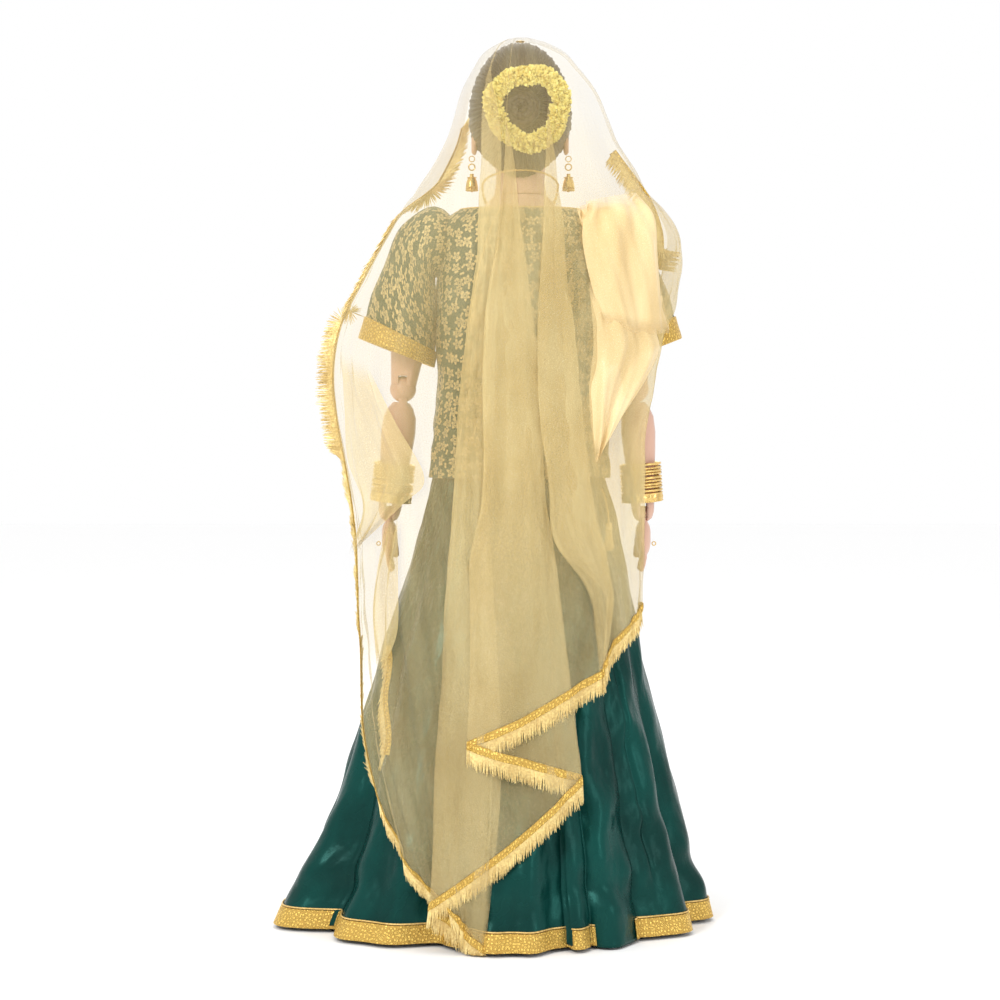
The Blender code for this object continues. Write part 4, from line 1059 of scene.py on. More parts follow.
class PUPPET_OT_veil(bpy.types.Operator):
    """The long net veil in one folded cloth, with its lace and thread fringe, and the gathers on it"""
    bl_idname = "puppet.veil"
    bl_label = "Veil"

    def execute(self, context):
        points, bunched = veil_points(381, 210)
        veil = make("veil_net", grid(points), finish("net"), values={"bunched": bunched})
        settle_veil(veil, "net", "veil_fall", "veil_hood")
        lines = {"hem": points[::-1][:6], "right_border": turned_in_border(),
                 "left_border": points[30:, ::-1][:, :9].swapaxes(0, 1)}
        stands_for = {"hem": "veil_fringe", "right_border": "hood_fringe_right", "left_border": "hood_fringe_left"}
        extras = []
        for number, (part, edge) in enumerate(lines.items()):
            lace = make(f"veil_lace_{part}", grid(lace_along(edge)), finish("lace"))
            thicken(lace, 0.0010, 0.0)
            settle_veil(lace, "gold_lace")
            flare = smooth_step(edge[0][:, 2:], 0.91, 0.86) * smooth_step(edge[0][:, 2:], 0.66, 0.72)
            # beside the left sleeve the threads fall back over the net, to leave the arm room to rise
            close = smooth_step(edge[0][:, 2:], 1.10, 1.05) * smooth_step(edge[0][:, 2:], 0.89, 0.93) \
                * (part == "left_border")
            hang = unit(edge[0] - edge[2]) * (0.9 - 0.5 * flare - 1.6 * close) + np.array([0, 0, -0.45]) \
                + unit(edge[0] * np.array([1.0, 1.0, 0.0])) * (flare * (part == "left_border") + 0.5 * close)
            if part == "right_border":
                spill = smooth_step(edge[0][:, 2:], 1.005, 0.985)
                hang = np.array([0.55, 0.1, -0.8]) * (1 - spill) + np.array([-1.0, 0.1, -0.12]) * spill
            threads = make(f"veil_fringe_{part}", drop_threads(edge[0], hang, cloth().thread_gap,
                                                               cloth().fringe_length, 40 + number),
                           finish("fringe"), weld=False)
            floor_it(threads)
            settle_veil(threads, "gold_lace", stands_for[part])
            extras += [lace, threads]
        # the cloth's other border, which lies under the left panel, over these heights
        z, step = np.meshgrid(np.linspace(0.415, 0.262, 60), np.linspace(0, 0.012, 4))
        turn = np.arcsin((0.203 + 0.003 * np.sin(z * 60) - step) / read_table(VEIL_LEFT, z))
        inner = veil_place(z, turn, np.full(z.shape, -0.012))
        lace = make("veil_lace_under", grid(lace_along(inner)), finish("lace"))
        hang = unit(inner[0] - inner[2]) * np.array([0.3, 0.3, 0.0]) + np.array([0.1, 0.25, -0.9])
        threads = make("veil_fringe_under", drop_threads(inner[0], hang, cloth().thread_gap * 0.6,
                                                         cloth().fringe_length, 44), finish("fringe"), weld=False)
        thicken(lace, 0.0010, 0.0)
        for piece in (lace, threads):
            settle_veil(piece, "gold_lace")
            extras.append(piece)
        roll = make("veil_rolled_edge", tube(points[84:, 0], 0.0009, 8, (0.3, 1, 0.1)), finish("swag"))
        settle_veil(roll, "net")
        extras.append(roll)
        min(2.2, area_of(veil))
        for name, left, right, out, puff in PATCHES:
            points = patch_points(left, right, out, puff=puff)
            down = np.linspace(0, 1, len(points))
            sheer = -3.3 * (1 - smooth_step(down, 0.0, 0.14) * smooth_step(down, 1.0, 0.88))
            # layers named for gathers take the brighter colour, a painted glow against the light
            layer = make(name, grid(points, flip=left[0][0] > right[0][0]),
                         finish("gather" if "gather" in name else "swag"),
                         values={"bunched": np.repeat(sheer, points.shape[1])})
            settle_veil(layer, "net")
            wide = float(lengths_along(points, 1)[-1])
            area_of(layer) / wide
        return {"FINISHED"}


def settle_veil(made, slot, *nodes):
    across_neck(made)
    if nodes:
        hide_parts(*nodes)


THREAD_REST = 0.0018     # height of a thread that lies on the floor


def floor_it(made):
    """Threads that would reach below the floor lie on it instead."""
    points = points_of(made)
    low = points[:, 2] < THREAD_REST
    points[low, 2] = THREAD_REST + 0.0008 * np.sin(points[low, 0] * 900 + points[low, 1] * 700) ** 2
    made.data.vertices.foreach_set("co", points.ravel())


# ---------------------------------------------------------------- head

HEAD_CENTRE = np.array([0.0, 0.0, 1.1865])
HEAD_HALF = np.array([0.068, 0.088, 0.1015])
EYE = (0.0275, 1.1835)


def bump_at(x, z, centre, wide, tall):
    """A soft mound: 1 at its centre, falling away as a bell across and up."""
    return np.exp(-((x - centre[0]) / wide) ** 2 - ((z - centre[1]) / tall) ** 2)


def both(x, z, centre, wide, tall):
    return bump_at(x, z, centre, wide, tall) + bump_at(x, z, (-centre[0], centre[1]), wide, tall)


def face_relief(x, z):
    """How far the front of the face stands forward of the plain egg, in metres: brow, sockets, cheeks, nose,
    lips and chin as soft mounds, placed by the usual thirds of a face."""
    nose_length = smooth_step(z, 1.200, 1.158) * smooth_step(z, 1.145, 1.153)
    nose = 0.0175 * nose_length * np.exp(-(x / (0.0052 + 0.0052 * smooth_step(z, 1.19, 1.158))) ** 2)
    wings = 0.0065 * both(x, z, (0.0098, 1.1555), 0.0050, 0.0058)
    brow = 0.0030 * both(x, z, (0.026, 1.2045), 0.021, 0.0075) + 0.0015 * bump_at(x, z, (0, 1.203), 0.010, 0.008)
    sockets = -0.0062 * both(x, z, (EYE[0], EYE[1] + 0.0015), 0.0165, 0.0105)
    cheeks = 0.0040 * both(x, z, (0.036, 1.158), 0.017, 0.018)
    muzzle = 0.0050 * bump_at(x, z, (0, 1.130), 0.024, 0.017)
    groove = -0.0014 * bump_at(x, z, (0, 1.1440), 0.0028, 0.0045)
    bow = 0.0016 * np.exp(-((np.abs(x) - 0.0045) / 0.004) ** 2)
    upper = 0.0040 * np.exp(-(x / 0.0165) ** 4) * np.exp(-((z - 1.1345 - bow) / 0.0036) ** 2)
    lower = 0.0048 * np.exp(-(x / 0.0140) ** 4) * np.exp(-((z - 1.1250) / 0.0042) ** 2)
    part = -0.0036 * np.exp(-(x / 0.0185) ** 4) * np.exp(-((z - 1.1300 - 0.0008 * (x / 0.018) ** 2) / 0.0014) ** 2)
    chin = 0.0075 * bump_at(x, z, (0, 1.1010), 0.0165, 0.0115)
    dent = -0.0025 * bump_at(x, z, (0, 1.1150), 0.014, 0.0050)
    return nose + wings + brow + sockets + cheeks + muzzle + groove + upper + lower + part + chin + dent


def head_points(around, rows):
    """An egg with its jaw drawn in. The turns crowd together at the front, where the relief stands forward."""
    t = np.linspace(-math.pi, math.pi, around)
    azimuth, polar = np.meshgrid(t - 0.45 * np.sin(t), np.linspace(0, math.pi, rows), indexing="ij")
    low = smooth_step(polar, math.radians(95), math.radians(165))
    flat = np.sin(polar)
    x = HEAD_HALF[0] * (1 - 0.30 * low) * flat * np.sin(azimuth)
    y = -HEAD_HALF[1] * flat * np.cos(azimuth)
    z = HEAD_CENTRE[2] + HEAD_HALF[2] * np.cos(polar)
    front = smooth_step(-y, 0.0, 0.045)
    return np.stack([x, y - front * face_relief(x, z), z], -1)


def ear_points(sign):
    """A flattened ball with a raised rim and a hollow, leaning back a little."""
    polar, turn = np.meshgrid(np.linspace(0, math.pi, 33), np.linspace(0, 2 * math.pi, 41), indexing="ij")
    reach = np.sin(polar)
    rim = 0.0030 * np.exp(-((reach - 0.80) / 0.16) ** 2) - 0.0026 * np.exp(-(reach / 0.45) ** 2)
    thick = np.where(np.cos(polar) > 0, 0.0034 * np.cos(polar) + rim, 0.0050 * np.cos(polar))
    lobe = 1 - 0.30 * smooth_step(-np.sin(turn), 0.1, 1.0)
    y = 0.0135 * reach * np.cos(turn) * lobe
    z = 0.0235 * reach * np.sin(turn)
    return np.stack([sign * (0.0672 + thick - 0.05 * y), 0.009 + y + 0.15 * z, 1.1535 + z], -1)


class PUPPET_OT_head(bpy.types.Operator):
    """Carved and painted head with its neck, ears and eyes"""
    bl_idname = "puppet.head"
    bl_label = "Head"

    def execute(self, context):
        neck = turned([(0.0, 1.0703), (0.0375, 1.0703), (0.0385, 1.0712), (0.0380, 1.076), (0.0362, 1.088),
                       (0.0360, 1.102), (0.0375, 1.120), (0.0390, 1.135), (0.0, 1.140)], 64, (0, 0.010, 0))
        shapes = [grid(head_points(241, 181), flip=True), neck]
        shapes += [grid(ear_points(sign), flip=sign > 0) for sign in SIDES.values()]
        head = soften(make("head_carved", joined(shapes), finish("skin")), 0.0015, 3)
        p = points_of(head)
        x, y, z = p.T
        front = smooth_step(-y, 0.03, 0.05)
        arch = 1.2040 + 0.0050 * (1 - ((np.abs(x) - 0.031) / 0.019) ** 2)
        brow_wide = 0.0016 * np.clip(1.3 - np.abs(np.abs(x) - 0.022) / 0.030, 0.25, 1)
        brow = smooth_step(np.abs(z - arch), brow_wide + 0.0009, brow_wide) \
            * smooth_step(np.abs(np.abs(x) - 0.030), 0.0195, 0.0175)
        across = np.clip(np.abs(x) / 0.0185, 0, 1)
        top = 1.1300 + 0.0066 * (1 - across ** 2.2) - 0.0014 * np.exp(-(x / 0.0028) ** 2)
        bottom = 1.1300 - 0.0078 * (1 - across ** 2.4)
        lip = smooth_step(z, bottom - 0.0006, bottom + 0.0004) * smooth_step(z, top + 0.0006, top - 0.0004) \
            * (np.abs(x) < 0.0188)
        mark = smooth_step(np.hypot(x, z - 1.2165), 0.0046, 0.0038)
        blush = both(x, z, (0.037, 1.153), 0.014, 0.013)
        paint_on(head.data, {"blush": front * blush, "lip": front * np.clip(lip + mark, 0, 1), "line": front * brow})
        settle(head, "painted_wood", "head", "head")

        for side, sign in SIDES.items():
            # an almond: a disc whose upper and lower edges are two arcs, domed like an eyeball
            reach, turn = np.meshgrid(np.linspace(0, 1, 26), np.linspace(0, 2 * math.pi, 61), indexing="ij")
            u = 0.0148 * reach * np.cos(turn)
            share = np.clip(np.abs(np.cos(turn)), 0, 1)
            tall = np.where(np.sin(turn) > 0, 0.0070, 0.0048) * (1 - share ** 2.2) + 0.0003
            v = reach * np.sign(np.sin(turn)) * tall + 0.0012 * (u / 0.0148) * sign
            base = np.hypot((EYE[0] + u) / HEAD_HALF[0], (EYE[1] + v - HEAD_CENTRE[2]) / HEAD_HALF[2])
            depth = -HEAD_HALF[1] * np.sqrt(np.clip(1 - base ** 2, 0, 1))
            dome = 0.0052 * (1 - 0.55 * reach ** 2) - 0.0002
            points = np.stack([sign * (EYE[0] + u), depth + 0.0052 - dome, EYE[1] + v], -1)
            verts, faces, _ = grid(points, flip=sign < 0)
            eye = make(f"eye_{side}", (verts, faces, np.stack([u, v], -1).reshape(-1, 2)), finish("eye"),
                       values={"rim": np.where(np.sin(turn) > -0.05, reach ** 1.5, reach ** 4 * 0.9)})
            thicken(eye, 0.0012)
            settle(eye, "painted_wood", "head")
        return {"FINISHED"}


# ---------------------------------------------------------------- hair, bun and flowers

def hair_points(shares, turns, swell):
    """A cap over the skull whose poles lie front and back: the turn runs round the head's depth, 0 on top,
    and the share runs from the bun to the hairline, so that lines of equal turn are combed strands."""
    share, turn = np.meshgrid(shares, turns, indexing="ij")
    top = np.cos(turn)
    limit = np.radians(74 + 22 * (1 - top ** 2) * (top < 0.6) + 62 * smooth_step(top, 0.05, 1.0)
                       - 12 * smooth_step(-top, 0.2, 0.9))
    polar = 0.05 + (limit - 0.05) * share
    strand = 0.0006 * np.sin(turn * 90 + 1.5 * np.sin(share * 7)) + 0.0007 * np.sin(turn * 37 + 2 * share) \
        - 0.0022 * np.exp(-(turn / 0.022) ** 2) * smooth_step(share, 0.45, 0.6)
    edge = smooth_step(share, 1.0, 0.93)
    grow = (swell + strand) * (0.25 + 0.75 * edge) if swell > 0.004 else swell + 0 * share
    z = (HEAD_HALF[2] + grow) * np.sin(polar) * top
    angle = np.arccos(np.clip(z / (HEAD_HALF[2] + grow), -1, 1))
    narrow = 1 - 0.30 * smooth_step(angle, math.radians(95), math.radians(165))
    x = (HEAD_HALF[0] + grow) * narrow * np.sin(polar) * np.sin(turn)
    return np.stack([x, (HEAD_HALF[1] + grow) * np.cos(polar), HEAD_CENTRE[2] + z], -1)


class PUPPET_OT_hair(bpy.types.Operator):
    """Combed hair with a coiled bun"""
    bl_idname = "puppet.hair"
    bl_label = "Hair"

    def execute(self, context):
        turns = np.linspace(-math.pi, math.pi, 521)
        shares = np.linspace(0, 1, 70)
        outer = hair_points(shares, turns, 0.0080)
        inner = hair_points(shares[::-1], turns, 0.0012)
        shell = np.concatenate([outer, inner])
        hair = make("hair_shell", grid(shell, flip=True), finish("hair"))
        settle(hair, "hair", "head", "hair")

        t = np.linspace(0, 1, 220)
        turn = t * 2 * math.pi * 2.6 + 0.6
        reach = 0.0215 * (1 - t) ** 0.8 + 0.001
        path = np.stack([reach * np.cos(turn), 0.1040 + 0.0170 * t ** 0.8, 1.186 + reach * np.sin(turn)], -1)
        coil = tube(path, 0.0086 * (1 - 0.25 * t) + 0.0005 * np.sin(t * 150), 30, (0, 1, 0))
        disc = inside_out(turned([(0.0, -0.006), (0.024, -0.006), (0.0275, 0.0), (0.0275, 0.008), (0.022, 0.014),
                                  (0.0, 0.016)], 48))
        flat = disc[0][:, [0, 2, 1]] + np.array([0, 0.0985, 1.186])
        bun = make("hair_bun_coil", joined([coil, (flat, *disc[1:])]), finish("hair"))
        settle(bun, "hair", "head", "hair_bun")
        return {"FINISHED"}


class PUPPET_OT_flower_ring(bpy.types.Operator):
    """Ring of cloth petals round the bun"""
    bl_idname = "puppet.flower_ring"
    bl_label = "Flower ring"

    def execute(self, context):
        count = figure().petal_count
        rng = np.random.default_rng(11)
        a, b = rng.uniform(0, 2 * math.pi, count), rng.uniform(-0.75 * math.pi, 0.80 * math.pi, count)
        radial = np.stack([np.cos(a), 0 * a, np.sin(a)], -1)
        back = np.array([0.0, 1.0, 0.0])
        out = radial * np.cos(b)[:, None] + back * np.sin(b)[:, None]
        centre = np.array([-0.010, 0.1190, 1.186])
        wave = (0.0470 + 0.0026 * np.sin(3 * a + 0.6) + 0.0014 * np.sin(7 * a))[:, None]
        root = centre + radial * wave + out * 0.0072
        way = unit(out + rng.normal(0, 0.30, (count, 3)))
        side = unit(np.cross(way, rng.normal(0, 1, (count, 3))))
        # a petal: a leaf of 3 x 4 points, cupped across and curling back along its length
        u, v = np.meshgrid(np.linspace(-1, 1, 3), np.linspace(0, 1, 4))
        wide = np.sin(np.pi * (0.12 + 0.72 * v)) * 0.30
        leaf = np.stack([u * wide, 0.30 * u ** 2 * wide + 0.42 * v ** 2, v], -1)
        shape = grid(leaf)
        axes = np.stack([side, np.cross(way, side), way], -1)
        sizes = rng.uniform(0.0056, 0.0098, (count, 1)) * np.ones((1, 3))
        petals = copies(shape, root, axes, sizes)
        made = make("flower_ring_petals", petals, finish("petals"), weld=False,
                    values={"root": np.tile(0.55 * (1 - leaf[..., 2].ravel()), count)
                            + np.repeat(rng.uniform(0.0, 0.30, count), leaf[..., 0].size)})
        settle(made, "flowers", "head", "flower_ring")
        core = make("flower_ring_core", ring(centre, (0, 1, 0), 0.0470, 0.0092, 64, 16, waves=24, swell=0.08),
                    finish("petals"), values={"root": np.full(65 * 17, 0.9)})
        settle(core, "flowers", "head")
        return {"FINISHED"}


# ---------------------------------------------------------------- jewellery, necklace and ties

def beads_at(places, radius, rows=6, around=8):
    polar, turn = np.meshgrid(np.linspace(0, math.pi, rows), np.linspace(0, 2 * math.pi, around + 1), indexing="ij")
    ball = grid(np.stack([np.sin(polar) * np.cos(turn), np.sin(polar) * np.sin(turn), np.cos(polar)], -1))
    count = len(places)
    axes = np.tile(np.eye(3), (count, 1, 1))
    sizes = np.broadcast_to(np.asarray(radius, float).reshape(-1, 1), (count, 1)) * np.ones((1, 3))
    return copies(ball, np.array(places), axes, sizes)


def circle_points(centre, radius, count, height=0.0):
    turn = np.arange(count) / count * 2 * math.pi
    return np.stack([centre[0] + radius * np.cos(turn), centre[1] + radius * np.sin(turn),
                     np.full(count, centre[2] + height)], -1)


class PUPPET_OT_ear_drops(bpy.types.Operator):
    """Bell ear drops with bead fringes and two small rings at the top"""
    bl_idname = "puppet.ear_drops"
    bl_label = "Ear drops"

    def execute(self, context):
        for side in SIDES:
            low, high = (np.array(v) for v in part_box(f"ear_drop_{side}"))
            x, y = 0.5 * (low + high)[:2]
            bell = turned([(0.0, 1.1035), (0.0028, 1.1030), (0.0032, 1.1012), (0.0024, 1.0998), (0.0050, 1.0975),
                           (0.0074, 1.0930), (0.0086, 1.0870), (0.0088, 1.0848), (0.0093, 1.0838), (0.0088, 1.0826),
                           (0.0074, 1.0830), (0.0060, 1.0900), (0.0, 1.0940)], 48, (x, y, 0))
            ring_top = ring((x, y, 1.1130), (0, 1, 0), 0.0046, 0.0010, 32, 10)
            small_top = ring((x, y, 1.1058), (1, 0, 0), 0.0026, 0.0008, 24, 8)
            centre = (x, y, 0)
            pearls = beads_at(np.vstack([circle_points(centre, 0.0080, 18, 1.0818),
                                         circle_points(centre, 0.0080, 18, 1.0790), [[x, y, 1.0790], [x, y, 1.0820]],
                                         circle_points(centre, 0.0062, 14, 1.0975)]),
                              np.concatenate([np.full(18, 0.0013), np.full(18, 0.0015), [0.0030, 0.0015],
                                              np.full(14, 0.0009)]))
            drop = make(f"ear_drop_bell_{side}", joined([inside_out(bell), ring_top, small_top, pearls]), finish("brass"))
            settle(drop, "brass", f"ear_drop_{side}", f"ear_drop_{side}")
        return {"FINISHED"}


def necklace_loop(degrees):
    """The necklace's line: an oval round the neck, deeper in front, where it hangs lower."""
    a = np.radians(degrees)
    behind = np.cos(a) > 0
    return np.stack([0.056 * np.sin(a), 0.062 * np.cos(a) * np.where(behind, 1.0, 1.48),
                     1.085 + np.where(behind, 0.018, 0.050) * np.cos(a)], -1)


class PUPPET_OT_necklace(bpy.types.Operator):
    """Bead necklace on a twisted cord"""
    bl_idname = "puppet.necklace"
    bl_label = "Necklace"

    def execute(self, context):
        route = necklace_loop(np.linspace(-98, 98, 260))
        plies = [twisted_ply(route, 0.0008, 0.0009, k * math.pi, 0.0062) for k in range(2)]
        cord = make("necklace_twisted_cord", joined(plies), finish("cord"))
        settle(cord, "gold_lace", "figure", "necklace_cord")
        large, small = necklace_loop(np.linspace(102, 258, 27)), necklace_loop(np.linspace(105, 255, 26))
        # beads shrink towards both ends of the string
        bulk = np.interp(np.abs(np.arange(27) - 13), [0, 8, 13], [0.0041, 0.0036, 0.0022])
        beads = joined([beads_at(large, bulk, 10, 14), beads_at(small, np.full(26, 0.0016), 7, 10)])
        made = make("necklace_bead_string", beads, finish("bead"))
        settle(made, "brass", "figure", "necklace_beads")
        return {"FINISHED"}


def twisted_ply(route, reach, radius, start, pitch):
    """One ply of a twisted cord: a tube that circles the route once per pitch."""
    along = run_of(route)
    fine = np.linspace(0, along[-1], max(40, int(along[-1] / pitch * 12)))
    line = read_line(route, along, fine)
    ahead = unit(np.gradient(line, axis=0))
    side = unit(np.cross(ahead, np.array([0.3, 0.2, 1.0])))
    other = np.cross(ahead, side)
    angle = (start + fine / pitch * 2 * math.pi)[:, None]
    return tube(line + reach * (side * np.cos(angle) + other * np.sin(angle)), radius, 7, (0.2, 1, 0.3))


BACK_TIE = ((0.020, 0.0685, 1.052), (0.030, 0.0790, 1.044), (0.044, 0.0850, 1.014), (0.056, 0.0880, 0.975),
            (0.064, 0.0890, 0.940), (0.068, 0.0900, 0.916))
WAIST_TIE = ((-0.118, 0.078, 0.640), (-0.122, 0.0835, 0.628), (-0.126, 0.089, 0.612), (-0.128, 0.094, 0.592))
TIE_RADIUS = 0.0013


class PUPPET_OT_ties(bpy.types.Operator):
    """Cord ties of the blouse and the skirt, each with a thread tassel"""
    bl_idname = "puppet.ties"
    bl_label = "Ties"

    def execute(self, context):
        for name, points in (("back_tie", BACK_TIE), ("waist_tie", WAIST_TIE)):
            route = smooth_route(points, 6)
            cord = make(f"{name}_silk_cord", tube(route, TIE_RADIUS, 12, (0.2, 1, 0.1)), finish("cord"))
            end = route[-1] + np.array([0, 0, -0.0004])
            knot = ring(end + np.array([0, 0, -0.0030]), (0, 0, 1), 0.0026, 0.0024, 24, 12)
            cap = turned([(0.0, -0.0003), (0.0030, -0.0008), (0.0042, -0.004), (0.0048, -0.009), (0.0055, -0.0105),
                          (0.0050, -0.0125), (0.0, -0.0125)], 20, end)
            rng = np.random.default_rng(7)
            turn, reach = rng.uniform(0, 2 * math.pi, 90), 0.0040 * np.sqrt(rng.uniform(0, 1, 90))
            starts = end + np.stack([reach * np.cos(turn), reach * np.sin(turn), np.full(90, -0.0120)], -1)
            way = unit(np.stack([np.cos(turn) * reach * 22, np.sin(turn) * reach * 22, np.full(90, -1.0)], -1))
            strings = drop_threads(np.vstack([starts, starts[-1:]]), np.vstack([way, way[-1:]]), 0.00012, 0.0255, 5)
            tassel = make(f"{name}_thread_tassel", joined([knot, inside_out(cap), strings]), finish("fringe"),
                          weld=False)
            settle(tassel, "gold_lace", "figure", f"{name}_tassel")
            settle(cord, "gold_lace", "figure", f"{name}_cord")
        return {"FINISHED"}


# ---------------------------------------------------------------- arms and hands

ELBOW = {"left": (0.174, 0.0, 0.785), "right": (-0.172, 0.0, 0.785)}
WRIST = {"left": (0.195, -0.008, 0.600), "right": (-0.184, -0.008, 0.600)}


def finger(base, tip, bend, radius):
    """A finger: a tube from base to tip, bowed by bend, fuller at its two joints and rounded at its end."""
    t = np.linspace(0, 1, 26)
    path = np.array(base)[None] * (1 - t[:, None]) + np.array(tip)[None] * t[:, None] \
        + np.array(bend)[None] * (np.sin(np.pi * t) * (1 - 0.3 * t))[:, None]
    wide = radius * (1 - 0.20 * t + 0.07 * np.exp(-((t - 0.36) / 0.06) ** 2)
                     + 0.06 * np.exp(-((t - 0.68) / 0.05) ** 2))
    wide = wide * np.sqrt(np.clip(1 - np.clip((t - 0.90) / 0.105, 0, 1) ** 2, 0.02, 1))
    return tube(path, wide, 18, (1, 0, 0), squash=0.9)


class PUPPET_OT_arms(bpy.types.Operator):
    """Painted wooden arms and hands"""
    bl_idname = "puppet.arms"
    bl_label = "Arms"

    def execute(self, context):
        for side, sign in SIDES.items():
            for part in ("upper_arm", "forearm"):
                limb = welded_copy(f"{part}_painted_{side}", f"{part}_{side}", finish("skin"))
                settle(limb, "painted_wood", f"{part}_{side}", f"{part}_{side}")
            for part, body, place, radius in (("elbow", "forearm", ELBOW[side], 0.0195),
                                              ("wrist", "hand", WRIST[side], 0.0112)):
                polar = np.linspace(0, math.pi, 25)
                ball = make(f"{part}_ball_{side}", turned(np.stack([radius * np.sin(polar),
                                                                    -radius * np.cos(polar)], -1), 36, place),
                            finish("skin"))
                settle(ball, "painted_wood", f"{body}_{side}")
            low, high = (np.array(v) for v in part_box(f"hand_{side}"))
            x, y, z = WRIST[side]
            xm = 0.5 * (low[0] + high[0]) if abs(high[0] - low[0]) < 0.03 else x
            top, bottom = high[2], low[2]
            mid = np.array([xm, y, 0])
            rows = ((top - 0.001, 0.0052, 0.0105), (z - 0.010, 0.0056, 0.0115), (z - 0.020, 0.0100, 0.0165),
                    (z - 0.034, 0.0112, 0.0225), (z - 0.046, 0.0110, 0.0250), (z - 0.056, 0.0090, 0.0245),
                    (z - 0.062, 0.0060, 0.0215))
            heights = np.linspace(rows[0][0], rows[-1][0], 30)
            turn = np.linspace(0, 2 * math.pi, 49)
            thick, wide = (read_table(rows, heights, k) for k in (1, 2))
            lean = -0.0040 * smooth_step(heights, z - 0.01, bottom)
            palm = np.stack([xm + thick[:, None] * np.cos(turn), y + lean[:, None] + wide[:, None] * np.sin(turn),
                             np.repeat(heights[:, None], 49, 1)], -1)
            palm = np.concatenate([np.repeat(palm[:1].mean(1, keepdims=True), 49, 1), palm,
                                   np.repeat(palm[-1:].mean(1, keepdims=True), 49, 1)])
            shapes = [grid(palm)]
            inner = -sign
            for k, (offset, long, radius) in enumerate(((-0.0182, 0.036, 0.0054), (-0.0062, 0.0405, 0.0057),
                                                        (0.0058, 0.0385, 0.0055), (0.0168, 0.031, 0.0049))):
                start = mid + np.array([0, offset - 0.004, z - 0.054])
                tip = mid + np.array([inner * 0.004, offset * 1.05 - 0.008, max(z - 0.058 - long, bottom + 0.0015)])
                shapes.append(finger(start, tip, (-inner * 0.0022, 0, 0), radius))
            shapes.append(finger(mid + np.array([inner * 0.003, -0.014, z - 0.026]),
                                 mid + np.array([inner * 0.0085, -0.0285, z - 0.068]), (0, -0.0045, 0), 0.0066))
            hand = soften(make(f"hand_carved_{side}", joined(shapes), finish("skin")), 0.00095, 4)
            settle(hand, "painted_wood", f"hand_{side}", f"hand_{side}")
        return {"FINISHED"}


class PUPPET_OT_bangles(bpy.types.Operator):
    """Thin bangles and one broad bangle on each wrist"""
    bl_idname = "puppet.bangles"
    bl_label = "Bangles"

    def execute(self, context):
        for side in SIDES:
            wrist, elbow = np.array(WRIST[side]), np.array(ELBOW[side])
            along = unit(elbow - wrist)
            count = figure().thin_bangles
            rng = np.random.default_rng(3 if side == "left" else 4)
            shapes = []
            for k in range(count):
                at = 0.0325 + (k + 0.5) * 0.0432 / count
                tip = unit(along + rng.normal(0, 0.012, 3))
                shapes.append(ring(wrist + along * at, tip, 0.0294, 0.0017, 96, 10, (0, 1, 0),
                                   32 if k % 2 else 0, 0.22))
            thin = make(f"bangles_thin_{side}", joined(shapes), finish("brass"))
            settle(thin, "brass", f"bangles_{side}", f"bangle_set_{side}")
            # the broad bangle: a band whose outside carries a row of lozenges between two beaded rims
            u, v = np.meshgrid(np.linspace(0, 2 * math.pi, 241), np.linspace(-1, 1, 21), indexing="ij")
            lozenge = np.clip(1 - np.abs(np.mod(u * 18 / math.pi, 2) - 1) - np.abs(v) * 0.9, 0, 1) * 1.2
            rim = np.exp(-((np.abs(v) - 0.86) / 0.10) ** 2) * (0.75 + 0.25 * np.cos(u * 60))
            reach = 0.0300 + 0.0014 * np.clip(lozenge, 0, 1) + 0.0020 * rim - 0.0006 * np.abs(v) ** 8
            side_way = unit(np.cross(along, np.array([0.0, 1.0, 0.0])))
            other = np.cross(along, side_way)
            out = side_way * np.cos(u)[..., None] + other * np.sin(u)[..., None]
            centre = wrist + along * 0.0245
            outer = centre + out * reach[..., None] + along * (v * 0.0070)[..., None]
            inner = (centre + out * 0.0276 + along * (v * 0.0070)[..., None])[:, ::-1]
            band = np.concatenate([outer, inner, outer[:, :1]], 1)
            broad = make(f"bangle_broad_{side}_embossed", grid(band), finish("brass"))
            settle(broad, "brass", f"bangles_{side}", f"broad_bangle_{side}")
        return {"FINISHED"}


# ---------------------------------------------------------------- stand

class PUPPET_OT_stand(bpy.types.Operator):
    """Finishes of the wooden stand, its metal fittings and the hidden frame"""
    bl_idname = "puppet.stand"
    bl_label = "Stand"

    def execute(self, context):
        give(["base_board"], finish("base_wood"))
        give(["hip_block", "trunk_board", "shoulder_yoke", "neck_dowel"], finish("bare_wood"))
        give(["bust_block"], finish("skin"))
        give(["post", "post_flange", "shoulder_rod"] + [f"flange_screw_{k}" for k in range(1, 5)]
             + [f"{pin}_pin_{side}" for pin in ("elbow", "wrist") for side in SIDES], finish("steel"))
        give([f"{part}_{side}" for part in ("ear_hook", "hand_eye") for side in SIDES] + ["crown_ring"],
             finish("brass"))
        return {"FINISHED"}


# lamps: place, width of the disc, watts
LAMPS = (("key", (1.9, 2.9, 2.7), 0.9, 60.0), ("fill", (-2.6, 2.4, 1.5), 1.2, 14.0),
         ("front", (0.5, -3.0, 2.2), 2.4, 24.0), ("top", (0.0, 0.4, 3.4), 1.6, 12.0))
LAMP_AIM, CAMERA_AIM = Vector((0, 0, 0.65)), Vector((0.0298, 0.0, 0.62))
LENS_MM = (82.2, 36.0)     # focal length and sensor width


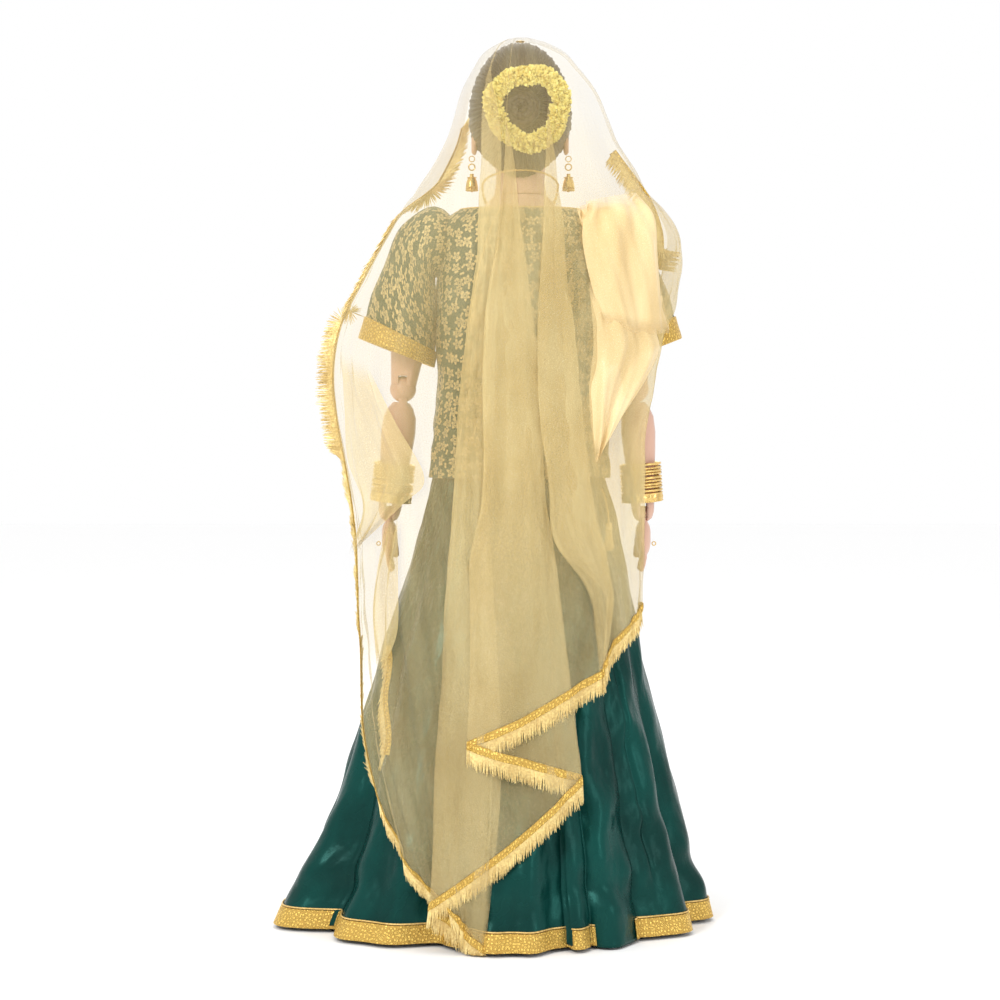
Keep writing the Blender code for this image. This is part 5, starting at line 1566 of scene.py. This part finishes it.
class PUPPET_OT_stage(bpy.types.Operator):
    """Pale floor, soft lights and the camera behind the figure"""
    bl_idname = "puppet.stage"
    bl_label = "Stage"

    def execute(self, context):
        settings = context.scene.puppet_stage
        floor = plain_finish("pale_floor", tuple(settings.floor), 0.9, 0.01)
        reach = np.linspace(-12, 12, 5)
        x, y = np.meshgrid(reach, reach)
        plane = make("floor", grid(np.stack([x, y, 0 * x - 0.0004], -1), flip=True), floor)

        world = bpy.data.worlds.new("pale_room")
        world.use_nodes = True
        world.node_tree.nodes["Background"].inputs[0].default_value = (1.0, 1.0, 1.0, 1.0)
        world.node_tree.nodes["Background"].inputs[1].default_value = 1.0
        context.scene.world = world
        context.scene.view_settings.view_transform = "Standard"

        for name, place, wide, power in LAMPS:
            lamp = bpy.data.lights.new(name, "AREA")
            lamp.size, lamp.energy, lamp.shape = wide, power, "DISK"
            holder = bpy.data.objects.new(name, lamp)
            holder.location = place
            holder.rotation_euler = (LAMP_AIM - Vector(place)).to_track_quat("-Z", "Y").to_euler()
            context.scene.collection.objects.link(holder)

        lens = bpy.data.cameras.new("camera")
        lens.lens, lens.sensor_width = LENS_MM
        lens.clip_end = 60.0
        camera = bpy.data.objects.new("camera", lens)
        camera.location = (CAMERA_AIM.x, settings.camera_distance, settings.camera_height)
        aim = CAMERA_AIM - camera.location
        camera.rotation_euler = aim.to_track_quat("-Z", "Y").to_euler()
        context.scene.collection.objects.link(camera)
        context.scene.camera = camera
        return {"FINISHED"}


PIECES = (PUPPET_OT_stage, PUPPET_OT_ties, PUPPET_OT_veil, PUPPET_OT_skirt, PUPPET_OT_blouse, PUPPET_OT_sleeves,
          PUPPET_OT_head, PUPPET_OT_hair, PUPPET_OT_flower_ring, PUPPET_OT_ear_drops, PUPPET_OT_necklace,
          PUPPET_OT_arms, PUPPET_OT_bangles, PUPPET_OT_stand)


class PUPPET_PT_panel(bpy.types.Panel):
    """Sizes, colours and pieces of the puppet"""
    bl_idname = "PUPPET_PT_panel"
    bl_label = "Puppet"
    bl_space_type = "VIEW_3D"
    bl_region_type = "UI"
    bl_category = "Puppet"

    def draw(self, context):
        for group in (context.scene.puppet_cloth, context.scene.puppet_figure, context.scene.puppet_stage):
            box = self.layout.box()
            for name in group.__annotations__:
                box.prop(group, name)
        for piece in PIECES:
            self.layout.operator(piece.bl_idname)


GROUPS = (PuppetClothSettings, PuppetFigureSettings, PuppetStageSettings)
CLASSES = GROUPS + PIECES + (PUPPET_PT_panel,)


def register():
    for made in CLASSES:
        bpy.utils.register_class(made)
    for name, group in zip(("puppet_cloth", "puppet_figure", "puppet_stage"), GROUPS):
        setattr(bpy.types.Scene, name, PointerProperty(type=group))


def unregister():
    for name in ("puppet_stage", "puppet_figure", "puppet_cloth"):
        delattr(bpy.types.Scene, name)
    for made in reversed(CLASSES):
        bpy.utils.unregister_class(made)


def main():
    register()
    for piece in PIECES:
        family, call = piece.bl_idname.split(".")
        getattr(getattr(bpy.ops, family), call)()


if __name__ == "__main__":
    main()
